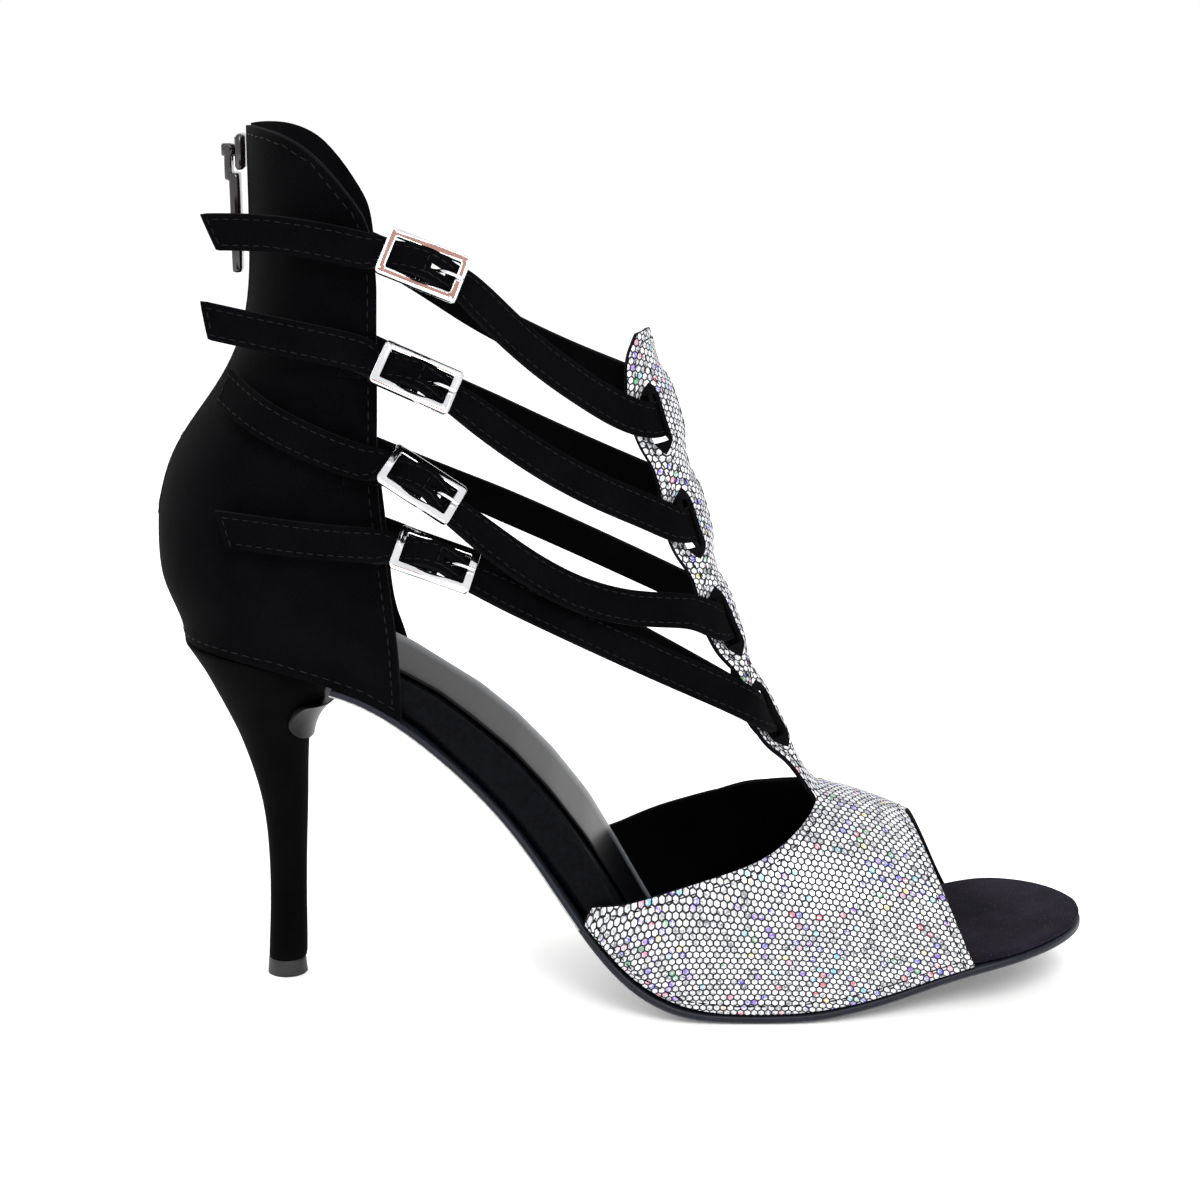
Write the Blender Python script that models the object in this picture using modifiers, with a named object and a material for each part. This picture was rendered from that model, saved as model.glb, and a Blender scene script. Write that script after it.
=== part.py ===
# An open-toed ballroom dance sandal for the right foot, in metres, +Z up.
# +X points to the toe, +Y to the inner side, and the origin is under the heel, on the floor.
import math

import bmesh
import bpy
from mathutils import Matrix, Vector

MM = 0.001

# The whole shoe
SHOE_LENGTH = 222.5 * MM
BALL_WIDTH = 73.0 * MM
HEEL_RISE = 86.8 * MM
COUNTER_RISE = 126.5 * MM
HEEL_OVERHANG = 28.5 * MM
WAIST_STACK = 12.5 * MM
INSTEP_HEIGHT = 165.0 * MM

# Walls and clearances
GAP = 0.3 * MM
OUTSOLE_THICKNESS = 2.2 * MM
VAMP_WALL = 1.3 * MM
COUNTER_WALL = 2.0 * MM
SOCK_THICKNESS = 0.7 * MM
FLAP_THICKNESS = 1.2 * MM
INSOLE_ROUND = 1.2 * MM

# Heel seat and toe
SEAT_INSET = 5.5 * MM
SEAT_RADIUS = 24.0 * MM
TOE_ROUND = 26.0 * MM
TOE_END = 1.036
TOP_PIECE_HEIGHT = 4.2 * MM
TOP_PIECE_RADIUS = 5.1 * MM

# Straps, chapes and buckles
STRAP_WIDTH = 8.5 * MM
STRAP_THICKNESS = 1.6 * MM
STRAP_IN_BUCKLE = 7.3 * MM
CHAPE_WIDTH = 7.0 * MM
CHAPE_THICKNESS = 0.8 * MM
BUCKLE_LENGTH = 19.6 * MM
BUCKLE_WIDTH = 11.9 * MM
BUCKLE_BAR = 2.0 * MM
BUCKLE_THICKNESS = 1.4 * MM
BUCKLE_CORNER = 1.2 * MM
BUCKLE_SECTION = ((0.5, 0.28), (0.32, 0.5), (-0.32, 0.5), (-0.5, 0.28), (-0.5, -0.5), (0.5, -0.5))
CHAPE_RAISE = 0.020
CENTRE_BAR_RADIUS = 0.6 * MM
CENTRE_BAR_DROP = 0.9 * MM
PRONG_RADIUS = 0.5 * MM

# The back zip
TAPE_WIDTH = 17.0 * MM
TAPE_THICKNESS = 0.8 * MM
CHAIN_WIDTH = 5.4 * MM
CHAIN_THICKNESS = 1.7 * MM
TAPE_START = 0.24
ZIP_END = 0.985
SLIDER_LENGTH = 8.4 * MM
SLIDER_WIDTH = 7.4 * MM
SLIDER_BACK = 2.2 * MM
SLIDER_DROP = 2.3 * MM
BAIL_THICKNESS = 1.6 * MM
BAIL_RIM = 1.1 * MM
PIN_RADIUS = 0.6 * MM
EYE_RADIUS = 1.3 * MM
PLACE_PER_WIDTH = 0.0135 / MM
CHAIN_START = 0.285
ZIP_STEPS = 12
HINGE_DROP = 3.8 * MM
HINGE_ROOM = 0.5 * MM
PULL_LENGTH = 29.0 * MM
PULL_WIDTH = 7.0 * MM
PULL_THICKNESS = 2.6 * MM
PULL_SET_IN = 1.5 * MM

# Sole: along (share of SHOE_LENGTH from the back), rise (of HEEL_RISE), stack (of WAIST_STACK),
# half width and swing to the inner side (of BALL_WIDTH)
SOLE_TABLE = (
    (0.000, 1.000, 0.664, 0.329, 0.000),
    (0.061, 0.991, 0.688, 0.336, 0.000),
    (0.128, 0.961, 0.736, 0.336, 0.000),
    (0.178, 0.917, 0.792, 0.315, 0.000),
    (0.227, 0.864, 0.880, 0.281, -0.004),
    (0.290, 0.750, 1.010, 0.253, -0.011),
    (0.353, 0.601, 1.096, 0.258, -0.014),
    (0.407, 0.442, 1.080, 0.301, -0.014),
    (0.452, 0.273, 1.000, 0.370, -0.007),
    (0.497, 0.127, 0.840, 0.432, 0.000),
    (0.546, 0.041, 0.540, 0.486, 0.004),
    (0.604, 0.000, 0.376, 0.500, 0.005),
    (0.699, 0.000, 0.344, 0.500, 0.005),
    (0.780, 0.030, 0.320, 0.473, 0.011),
    (0.870, 0.088, 0.340, 0.417, 0.022),
    (0.937, 0.124, 0.336, 0.385, 0.030),
    (1.000, 0.144, 0.328, 0.350, 0.035),
    (1.036, 0.150, 0.320, 0.330, 0.037),
)
RISE, STACK, HALF, SWING = 1, 2, 3, 4
SOCK_START = 0.008
SOCK_END = 0.560

# Heel: height (share of HEEL_RISE), back and front (of SHOE_LENGTH), half width (of BALL_WIDTH)
HEEL_TABLE = (
    (0.052, -0.021, 0.023, 0.067),
    (0.104, -0.020, 0.024, 0.063),
    (0.230, -0.017, 0.024, 0.062),
    (0.392, -0.017, 0.026, 0.066),
    (0.530, -0.022, 0.029, 0.085),
    (0.645, -0.034, 0.030, 0.118),
    (0.726, -0.045, 0.032, 0.153),
    (0.795, -0.057, 0.037, 0.195),
    (0.864, -0.071, 0.045, 0.241),
    (0.922, -0.083, 0.054, 0.282),
    (0.974, -0.097, 0.060, 0.310),
    (1.000, -0.104, 0.063, 0.322),
)
HEEL_SIDES = 24
HEEL_WARP_START = 0.62
# Flap on the heel's breast: height (share of HEEL_RISE), half its spread round the heel (degrees)
FLAP_TABLE = (
    (0.738, 26),
    (0.750, 42),
    (0.770, 54),
    (0.795, 60),
    (0.830, 59),
    (0.864, 52),
    (0.880, 46),
)
FLAP_STEPS = 5

# Last over the forefoot: along (share of SHOE_LENGTH), height over the insole (of INSTEP_HEIGHT)
LAST_TABLE = (
    (0.443, 0.582),
    (0.470, 0.533),
    (0.510, 0.473),
    (0.555, 0.436),
    (0.596, 0.400),
    (0.640, 0.348),
    (0.683, 0.303),
    (0.730, 0.285),
    (0.771, 0.261),
    (0.807, 0.233),
    (0.834, 0.206),
    (0.865, 0.176),
    (0.901, 0.139),
)

# Throat and toe rim of the vamp: turn from the sole edge to the top (degrees), along
THROAT_TABLE = (
    (0, 0.467),
    (5, 0.476),
    (12, 0.507),
    (21, 0.549),
    (30, 0.600),
    (39, 0.648),
    (48, 0.678),
    (58, 0.704),
    (68, 0.722),
    (76, 0.728),
    (90, 0.730),
)
TOE_RIM_TABLE = (
    (0, 0.900),
    (16, 0.886),
    (33, 0.872),
    (49, 0.858),
    (70, 0.843),
    (90, 0.832),
)
VAMP_ROWS = (0, 0.12, 0.25, 0.38, 0.51, 0.64, 0.77, 0.9, 1)
BAR_TURN = 76.0
INNER_THROAT_BACK = 0.025

# T-bar: climb (0 at the vamp, 1 at the tip), along (share of SHOE_LENGTH), half width and
# middle to the inner side (of BALL_WIDTH)
BAR_TABLE = (
    (0.000, 0.730, 0.122, 0.000),
    (0.081, 0.703, 0.122, -0.008),
    (0.176, 0.676, 0.140, -0.016),
    (0.281, 0.654, 0.140, -0.025),
    (0.386, 0.632, 0.148, -0.033),
    (0.495, 0.613, 0.145, -0.041),
    (0.603, 0.597, 0.157, -0.049),
    (0.718, 0.579, 0.143, -0.058),
    (0.829, 0.563, 0.159, -0.063),
    (0.905, 0.550, 0.152, -0.067),
    (0.963, 0.541, 0.128, -0.070),
    (1.000, 0.536, 0.060, -0.071),
)
SLOT_CLIMBS = (0.829, 0.603, 0.386, 0.176)
BAR_COLUMNS = (-1, -0.8, -0.62, -0.42, -0.2, 0, 0.2, 0.42, 0.62, 0.8, 1)
SLOT_COLUMNS = ((-0.62, -0.42), (0.42, 0.62))
SLOT_EDGE = 0.52
BAR_CURL = 16.0 * MM
BAR_YAW_FOOT = math.radians(-12)
BAR_YAW_TOP = math.radians(20)
BAR_INSET = 0.6 * MM
SLOT_HALF = STRAP_WIDTH / 2 + 1.6 * MM
SLOT_FADE = 3.8 * MM
SLOT_ROOM = 0.7 * MM

# Counter: height (share of COUNTER_RISE over the heel), back and front (of SHOE_LENGTH),
# half width (of BALL_WIDTH)
COUNTER_TABLE = (
    (0.018, -0.103, 0.142, 0.342),
    (0.040, -0.109, 0.141, 0.352),
    (0.065, -0.114, 0.140, 0.364),
    (0.120, -0.124, 0.137, 0.384),
    (0.180, -0.128, 0.134, 0.398),
    (0.250, -0.128, 0.130, 0.404),
    (0.310, -0.123, 0.126, 0.405),
    (0.390, -0.108, 0.124, 0.403),
    (0.448, -0.086, 0.125, 0.397),
    (0.508, -0.060, 0.126, 0.392),
    (0.563, -0.040, 0.126, 0.386),
    (0.626, -0.026, 0.126, 0.384),
    (0.705, -0.019, 0.127, 0.384),
    (0.816, -0.018, 0.129, 0.389),
    (1.000, -0.018, 0.129, 0.397),
)
BACK, FRONT, ROUND = 1, 2, 3
COUNTER_PLACES = (0.061, 0.155, 0.255, 0.355, 0.465, 0.6, 0.735, 0.87, 1)
COUNTER_CURVE = 29.0 * MM
CURVE_SHARE = 0.6
COUNTER_ROWS = (0, 0.03, 0.07, 0.12, 0.17, 0.22, 0.27, 0.33, 0.39, 0.45, 0.52, 0.6, 0.7, 0.8, 0.9, 0.96, 1)
SLIT_ROW = 6
COUNTER_FLARE = 14.0 * MM
COUNTER_CORNER = 34.0 * MM
CORNER_START = -0.012
INNER_FRONT_BACK = 4.8 * MM
INNER_FRONT_LOW = -0.12
INNER_FRONT_HIGH = 0.07
CURVE_REACH = 0.9


# Buckles: along (share of SHOE_LENGTH), out from the middle (of BALL_WIDTH), height (share of
# COUNTER_RISE over the heel), slope towards the toe and tilt upwards (degrees)
BUCKLE_TABLE = (
    (0.3060, 0.470, 0.765, 22, 30),
    (0.2975, 0.468, 0.562, 24, 39),
    (0.3010, 0.468, 0.365, 34, 46),
    (0.3140, 0.486, 0.227, 20, 44),
)

# Straps: height of the inner end (share of COUNTER_RISE over the heel), sag on the inner and
# the outer side and bow outwards (mm), how steeply it climbs from the slot (share of the
# crossing's), and the loose end as rows of distance behind the
# counter's front edge (share of SHOE_LENGTH), height (share) and lift (mm)
STRAP_TABLE = (
    (0.740, 3.2, 2.0, 2.0, 1.0, ((0.011, 0.790, 1.3), (0.040, 0.802, 0.9))),
    (0.535, 1.5, 2.2, 2.0, 1.0, ((0.014, 0.600, 1.0), (0.040, 0.612, 0.8))),
    (0.330, 0.0, 6.5, 4.0, 1.05, ((0.013, 0.402, 0.6), (0.067, 0.436, 0.2), (0.121, 0.478, 0.0), (0.180, 0.520, 0.0))),
    (0.165, -3.0, 0.3, 0.3, 1.25, ((0.018, 0.250, 0.6), (0.067, 0.256, 0.2), (0.117, 0.267, 0.0), (0.171, 0.276, 0.0))),
)
# Loose ends that stand clear of the counter run straight on: length (share of SHOE_LENGTH)
# and height (share of COUNTER_RISE)
FREE_ENDS = (
    ((0.072, 0.819), (0.069, 0.819)),
    ((0.074, 0.638), (0.072, 0.664)),
    (),
    (),
)
# Inner end of a strap on the counter: distance behind its front edge (share of SHOE_LENGTH),
# height above the anchor and lift (mm)
INNER_LAP = ((0.058, 3.0, 0.0), (0.029, 1.5, 0.1), (0.001, 0.0, 0.4))
LAP_ROOM = 0.5 * MM
TAIL_SLANT = 3.5 * MM

# Crossing of the T-bar: place across it, and how far the strap lies above its slot and
# outside the wall's middle there (mm)
BAR_CROSSING = (
    (1.35, 3.6, 0.2),
    (0.85, 1.2, 0.2),
    (0.42, 0.0, 0.0),
    (0.0, -0.7, 0.0),
    (-0.42, -0.6, 0.1),
    (-0.85, 1.5, 1.1),
    (-1.35, 6.6, 1.6),
)


def remove_everything():
    """Clear the scene."""
    for old in list(bpy.data.objects):
        bpy.data.objects.remove(old, do_unlink=True)


def new_collection(name):
    """Make a collection in the scene."""
    collection = bpy.data.collections.new(name)
    bpy.context.scene.collection.children.link(collection)
    return collection


def smooth(table, column, at):
    """Read one column of a table at a place along its first column, with no overshoot."""
    places = [row[0] for row in table]
    values = [row[column] for row in table]
    if at <= places[0]:
        return values[0]
    if at >= places[-1]:
        return values[-1]
    steps = [places[i + 1] - places[i] for i in range(len(places) - 1)]
    rates = [(values[i + 1] - values[i]) / steps[i] for i in range(len(steps))]
    index = max(i for i in range(len(steps)) if places[i] <= at)

    def slope(i):
        """Slope of the curve at one row."""
        if i == 0:
            return rates[0]
        if i == len(places) - 1:
            return rates[-1]
        if rates[i - 1] * rates[i] <= 0:
            return 0.0
        return 2 * rates[i - 1] * rates[i] / (rates[i - 1] + rates[i])

    step = steps[index]
    t = (at - places[index]) / step
    start = values[index] * (2 * t ** 3 - 3 * t ** 2 + 1) + slope(index) * step * (t ** 3 - 2 * t ** 2 + t)
    end = values[index + 1] * (3 * t ** 2 - 2 * t ** 3) + slope(index + 1) * step * (t ** 3 - t ** 2)
    return start + end


def ease(low, high, at):
    """Go smoothly from 0 at low to 1 at high."""
    t = min(1.0, max(0.0, (at - low) / (high - low)))
    return t * t * (3 - 2 * t)


def flow(points, at):
    """A point on the smooth curve through some points, at 0 for the first and 1 for the last."""
    last = len(points) - 1
    place = min(max(at, 0.0), 1.0) * last
    i = min(int(place), last - 1)
    t = place - i
    a = points[max(i - 1, 0)]
    b = points[i]
    c = points[i + 1]
    d = points[min(i + 2, last)]
    return 0.5 * (2 * b + (c - a) * t + (2 * a - 5 * b + 4 * c - d) * t ** 2 + (3 * b - a - 3 * c + d) * t ** 3)


def along_x(share):
    """X of a share of the shoe's length, from the back of the heel."""
    return share * SHOE_LENGTH - HEEL_OVERHANG


def sole_frame(share):
    """Lower middle point of the sole, the direction along it and its upward normal."""
    step = 0.004
    point = Vector((along_x(share), 0, smooth(SOLE_TABLE, RISE, share) * HEEL_RISE))
    before = Vector((along_x(share - step), 0, smooth(SOLE_TABLE, RISE, share - step) * HEEL_RISE))
    after = Vector((along_x(share + step), 0, smooth(SOLE_TABLE, RISE, share + step) * HEEL_RISE))
    forward = (after - before).normalized()
    up = Vector((-forward.z, 0, forward.x))
    point.y = smooth(SOLE_TABLE, SWING, share) * BALL_WIDTH
    return point, forward, up


def stack_at(share):
    """Whole thickness of outsole and insole."""
    return smooth(SOLE_TABLE, STACK, share) * WAIST_STACK


def half_width(share, inset=0.0):
    """Half width of the sole, or of a line inside its edge, rounded at the seat and the toe."""
    width = smooth(SOLE_TABLE, HALF, share) * BALL_WIDTH - inset
    from_back = share * SHOE_LENGTH - SEAT_INSET
    from_toe = (TOE_END - share) * SHOE_LENGTH
    for reach, radius in ((from_back, SEAT_RADIUS), (from_toe, TOE_ROUND)):
        if reach < radius:
            part = 1 - max(0.0, reach - inset) / (radius - inset)
            width *= math.sqrt(max(0.0, 1 - part ** 2))
    return width


def stations(start, end, count):
    """Shares along the sole, closer together towards both ends."""
    return [start + (end - start) * (1 - math.cos(math.pi * i / count)) / 2 for i in range(count + 1)]


def finish(name, bm, colour, roughness, metallic=0.0, sharp=35):
    """Turn a bmesh into a named, shaded object with its own material."""
    bmesh.ops.recalc_face_normals(bm, faces=bm.faces)
    mesh = bpy.data.meshes.new(name)
    bm.to_mesh(mesh)
    bm.free()
    return place(name, mesh, colour, roughness, metallic, sharp)


def place(name, mesh, colour, roughness, metallic=0.0, sharp=35):
    """Put a mesh in the shoe's collection as a named object."""
    mesh.shade_smooth()
    mesh.set_sharp_from_angle(angle=math.radians(sharp))
    piece = bpy.data.objects.new(name, mesh)
    shoe.objects.link(piece)
    material = bpy.data.materials.new(name)
    material.use_nodes = True
    shader = material.node_tree.nodes["Principled BSDF"]
    shader.inputs["Base Color"].default_value = (*colour, 1)
    shader.inputs["Roughness"].default_value = roughness
    shader.inputs["Metallic"].default_value = metallic
    mesh.materials.clear()
    mesh.materials.append(material)
    return piece


def loft(rings):
    """A closed body through rings of as many points each, with a fan on both ends."""
    bm = bmesh.new()
    rows = [[bm.verts.new(point) for point in ring] for ring in rings]
    count = len(rows[0])
    for lower, upper in zip(rows, rows[1:]):
        for i in range(count):
            j = (i + 1) % count
            bm.faces.new((lower[i], lower[j], upper[j], upper[i]))
    for ring in (rows[0], rows[-1]):
        middle = bm.verts.new(sum((vert.co for vert in ring), Vector()) / count)
        for i in range(count):
            bm.faces.new((ring[i], ring[(i + 1) % count], middle))
    return bm


def sheet(points, keep=lambda row, column: True):
    """An open surface through rows of points, without the cells that keep leaves out."""
    bm = bmesh.new()
    rows = [[bm.verts.new(point) for point in row] for row in points]
    for r in range(len(rows) - 1):
        for c in range(len(rows[0]) - 1):
            if keep(r, c):
                bm.faces.new((rows[r][c], rows[r][c + 1], rows[r + 1][c + 1], rows[r + 1][c]))
    loose = [vert for vert in bm.verts if not vert.link_faces]
    bmesh.ops.delete(bm, geom=loose, context="VERTS")
    return bm


def walled(name, bm, wall, offset, colour, roughness, outward):
    """Give an open surface its wall; its faces are first turned to look outward."""
    mesh = bpy.data.meshes.new(name)
    bmesh.ops.recalc_face_normals(bm, faces=bm.faces)
    bm.faces.ensure_lookup_table()
    probe = bm.faces[len(bm.faces) // 2]
    if probe.normal.dot(outward(probe.calc_center_median())) < 0:
        bmesh.ops.reverse_faces(bm, faces=bm.faces)
    bm.to_mesh(mesh)
    bm.free()
    piece = place(name, mesh, colour, roughness)
    solid = piece.modifiers.new("wall", "SOLIDIFY")
    solid.thickness = wall
    solid.offset = offset
    solid.use_even_offset = True
    return piece


def sole_ring(share, section):
    """Points of one section of the sole, from pairs of side place and height."""
    base, forward, up = sole_frame(share)
    return [base + Vector((0, side, 0)) + up * height for side, height in section]


def insole_inset(share):
    """How far the insole's edge stays inside the outsole's, to leave room for the upper's wall."""
    under_counter = 1 - ease(0.272, 0.295, share)
    under_vamp = ease(0.440, 0.458, share) * (1 - ease(0.906, 0.922, share))
    return GAP + (COUNTER_WALL + GAP) * under_counter + (VAMP_WALL + GAP) * under_vamp


def outsole_start():
    """Share along the sole where the outsole meets the front of the heel."""
    return HEEL_TABLE[-1][2] + (HEEL_OVERHANG + GAP) / SHOE_LENGTH


def make_outsole():
    """Thin sole from the heel to the toe, with a feathered lower edge."""
    rings = []
    for share in stations(outsole_start(), TOE_END - 0.0015, 34):
        w = half_width(share)
        t = OUTSOLE_THICKNESS
        bevel = min(0.7 * MM, w / 3)
        section = ((-w, t), (-w, 0.3 * t), (-w + bevel, 0), (w - bevel, 0), (w, 0.3 * t), (w, t))
        rings.append(sole_ring(share, section))
    return finish("outsole", loft(rings), (0.10, 0.11, 0.14), 0.75)


def insole_stations():
    """Sections of the insole, which the sock shares."""
    first = (SEAT_INSET + COUNTER_WALL + 3 * GAP) / SHOE_LENGTH
    return stations(first, TOE_END - 0.0025, 40)


def make_insole():
    """Covered insole board, thick at the waist and rounded along its upper edge."""
    rings = []
    for share in insole_stations():
        low = OUTSOLE_THICKNESS + GAP
        high = stack_at(share)
        w = max(0.6 * MM, half_width(share, insole_inset(share)))
        r = min(INSOLE_ROUND, (high - low) / 2, w / 3)
        section = (
            (-w, low),
            (-w, high - r),
            (-w + 0.3 * r, high - 0.3 * r),
            (-w + r, high),
            (w - r, high),
            (w - 0.3 * r, high - 0.3 * r),
            (w, high - r),
            (w, low),
        )
        rings.append(sole_ring(share, section))
    return finish("insole", loft(rings), (0.012, 0.012, 0.015), 0.9)


def sock_half(share):
    """Half width of the sock, which narrows to a rounded end under the vamp."""
    inner = half_width(share, insole_inset(share) + INSOLE_ROUND)
    narrow = 1 - 0.45 * ease(0.36, 0.54, share)
    end = math.sqrt(max(0.0, 1 - ease(SOCK_END - 0.06, SOCK_END, share) ** 2))
    return max(0.8 * MM, inner * narrow * max(0.1, end) - 0.4 * MM)


def make_sock():
    """Glossy sock that lies on the insole."""
    rings = []
    first = SOCK_START + (SEAT_INSET + COUNTER_WALL + INSOLE_ROUND) / SHOE_LENGTH
    for share in (share for share in insole_stations() if first < share < SOCK_END):
        w = sock_half(share)
        low = stack_at(share) + GAP
        high = low + SOCK_THICKNESS
        rings.append(sole_ring(share, ((-w, low), (-w, high), (w, high), (w, low))))
    return finish("sock_liner", loft(rings), (0.25, 0.26, 0.28), 0.2)


def seat_height(x):
    """Height of the heel's upper face under a place along the seat."""
    share = (x + HEEL_OVERHANG) / SHOE_LENGTH
    return smooth(SOLE_TABLE, RISE, share) * HEEL_RISE + OUTSOLE_THICKNESS


def heel_ring(height, grow=0.0, turns=None, shrink=1.0):
    """Section of the heel at a share of its height, which follows the seat near the top."""
    back = smooth(HEEL_TABLE, 1, height) * SHOE_LENGTH - grow
    front = smooth(HEEL_TABLE, 2, height) * SHOE_LENGTH + grow
    side = (smooth(HEEL_TABLE, 3, height) * BALL_WIDTH + grow) * shrink
    middle = (back + front) / 2
    reach = (front - back) / 2 * shrink
    if turns is None:
        turns = [2 * math.pi * i / HEEL_SIDES for i in range(HEEL_SIDES)]
    ring = []
    for turn in turns:
        x = middle + reach * math.cos(turn)
        z = height * HEEL_RISE + (seat_height(x) - HEEL_RISE) * ease(HEEL_WARP_START, 1.0, height)
        ring.append(Vector((x, side * math.sin(turn), z)))
    return ring


def make_heel():
    """Slim heel, lofted through its table and closed by the seat."""
    foot = TOP_PIECE_HEIGHT + GAP
    heights = [foot / HEEL_RISE]
    heights += sorted({row[0] for row in HEEL_TABLE[1:]} | {row[0] for row in FLAP_TABLE})
    rings = [heel_ring(height) for height in heights]
    rings.append(heel_ring(1.0, shrink=0.55))
    return finish("heel", loft(rings), (0.008, 0.008, 0.01), 0.95)


def make_flap():
    """End of the sole leather, which runs down the breast of the heel."""
    low = FLAP_TABLE[0][0]
    high = FLAP_TABLE[-1][0]
    rings = []
    for height, spread in FLAP_TABLE:
        turns = [math.radians(spread) * i / FLAP_STEPS for i in range(-FLAP_STEPS, FLAP_STEPS + 1)]
        part = (height - low) / (high - low)
        inner = heel_ring(height, GAP, turns)
        thick = FLAP_THICKNESS * (0.7 + 2.0 * part ** 3)
        ring = list(inner)
        for point, turn in zip(reversed(inner), reversed(turns)):
            fade = 0.25 + 0.75 * math.cos(turn)
            ring.append(point + Vector((math.cos(turn), math.sin(turn), 0)) * thick * fade)
        rings.append(ring)
    bm = loft_plain(rings)
    return finish("breast_flap", bm, (0.22, 0.22, 0.22), 0.5)


def loft_plain(rings):
    """A closed body through rings, with one face on each end."""
    bm = bmesh.new()
    rows = [[bm.verts.new(point) for point in ring] for ring in rings]
    count = len(rows[0])
    for lower, upper in zip(rows, rows[1:]):
        for i in range(count):
            j = (i + 1) % count
            bm.faces.new((lower[i], lower[j], upper[j], upper[i]))
    half = count // 2
    for ring in (rows[0], rows[-1]):
        for i in range(half - 1):
            bm.faces.new((ring[i], ring[i + 1], ring[count - 2 - i], ring[count - 1 - i]))
    return bm


def make_top_piece():
    """Wearing tip under the heel, flat on the floor."""
    bm = bmesh.new()
    bmesh.ops.create_cone(
        bm,
        cap_ends=True,
        segments=HEEL_SIDES,
        radius1=TOP_PIECE_RADIUS,
        radius2=TOP_PIECE_RADIUS * 0.93,
        depth=TOP_PIECE_HEIGHT,
        matrix=Matrix.Translation((0, 0, TOP_PIECE_HEIGHT / 2)),
    )
    return finish("top_piece", bm, (0.01, 0.01, 0.01), 0.5)


def last_point(share, turn):
    """Point of the last over the forefoot; turn goes from the outer sole edge over the top."""
    base, forward, up = sole_frame(share)
    floor = base.z + (OUTSOLE_THICKNESS + GAP) / up.z
    height = smooth(LAST_TABLE, 1, share) * INSTEP_HEIGHT
    side = -math.cos(turn) * half_width(share)
    return Vector((base.x, base.y + side, floor + height * math.sin(turn)))


def vamp_point(turn, part):
    """Point of the vamp, from its throat at part 0 to its toe rim at part 1."""
    degrees = math.degrees(min(turn, math.pi - turn))
    throat = smooth(THROAT_TABLE, 1, degrees)
    if turn > math.pi / 2 and degrees < BAR_TURN:
        throat -= INNER_THROAT_BACK * math.sin(math.pi * (degrees / BAR_TURN) ** 2)
    rim = smooth(TOE_RIM_TABLE, 1, degrees)
    return last_point(throat + (rim - throat) * part, turn)


def bar_length():
    """Height from the vamp to the tip of the T-bar."""
    return INSTEP_HEIGHT - vamp_point(math.pi / 2, 0).z


def bar_middle(climb):
    """Middle of the T-bar's front at a share of its height."""
    foot = vamp_point(math.pi / 2, 0)
    y = foot.y + smooth(BAR_TABLE, 3, climb) * BALL_WIDTH
    return Vector((along_x(smooth(BAR_TABLE, 1, climb)), y, foot.z + bar_length() * climb))


def bar_point(climb, place, lift=0.0):
    """Point across the T-bar, from -1 at its outer edge to 1 at its inner edge, and its rise."""
    rise = (bar_middle(climb + 0.02) - bar_middle(climb - 0.02)).normalized()
    yaw = BAR_YAW_FOOT + (BAR_YAW_TOP - BAR_YAW_FOOT) * ease(0.0, 0.8, climb)
    across = Vector((math.sin(yaw), math.cos(yaw), 0))
    across = (across - rise * across.dot(rise)).normalized()
    out = across.cross(rise)
    half = smooth(BAR_TABLE, 2, climb) * BALL_WIDTH
    swing = math.asin(min(0.95, half / BAR_CURL)) * place
    normal = across * math.sin(swing) + out * math.cos(swing)
    point = bar_middle(climb) - out * BAR_CURL + normal * (BAR_CURL + lift)
    return point, rise


def slot_push(climb, place):
    """How far the wall moves out or in, to let a strap pass through a slot."""
    reach = 0.0
    for slot in SLOT_CLIMBS:
        away = abs(climb - slot) * bar_length()
        reach = max(reach, 1 - ease(SLOT_HALF, SLOT_HALF + SLOT_FADE, away))
    room = (STRAP_THICKNESS + VAMP_WALL) / 2 + SLOT_ROOM
    if abs(place) <= SLOT_EDGE:
        return reach * (room - BAR_INSET)
    return -reach * (room + BAR_INSET)


def bar_climbs():
    """Rows of the T-bar: two on each side of every slot, one at its middle, and the tip."""
    length = bar_length()
    climbs = [0.035]
    for slot in SLOT_CLIMBS:
        for away in (-SLOT_HALF - SLOT_FADE, -SLOT_HALF, 0, SLOT_HALF, SLOT_HALF + SLOT_FADE):
            climbs.append(slot + away / length)
    climbs += [0.945, 0.970, 0.988, 1.0]
    return sorted(climbs)


def in_slot(low, high, left, right):
    """Whether a cell of the T-bar lies in a slot."""
    middle = (low + high) / 2
    inside = any(abs(middle - slot) * bar_length() < SLOT_HALF for slot in SLOT_CLIMBS)
    return inside and (left, right) in SLOT_COLUMNS


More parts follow.
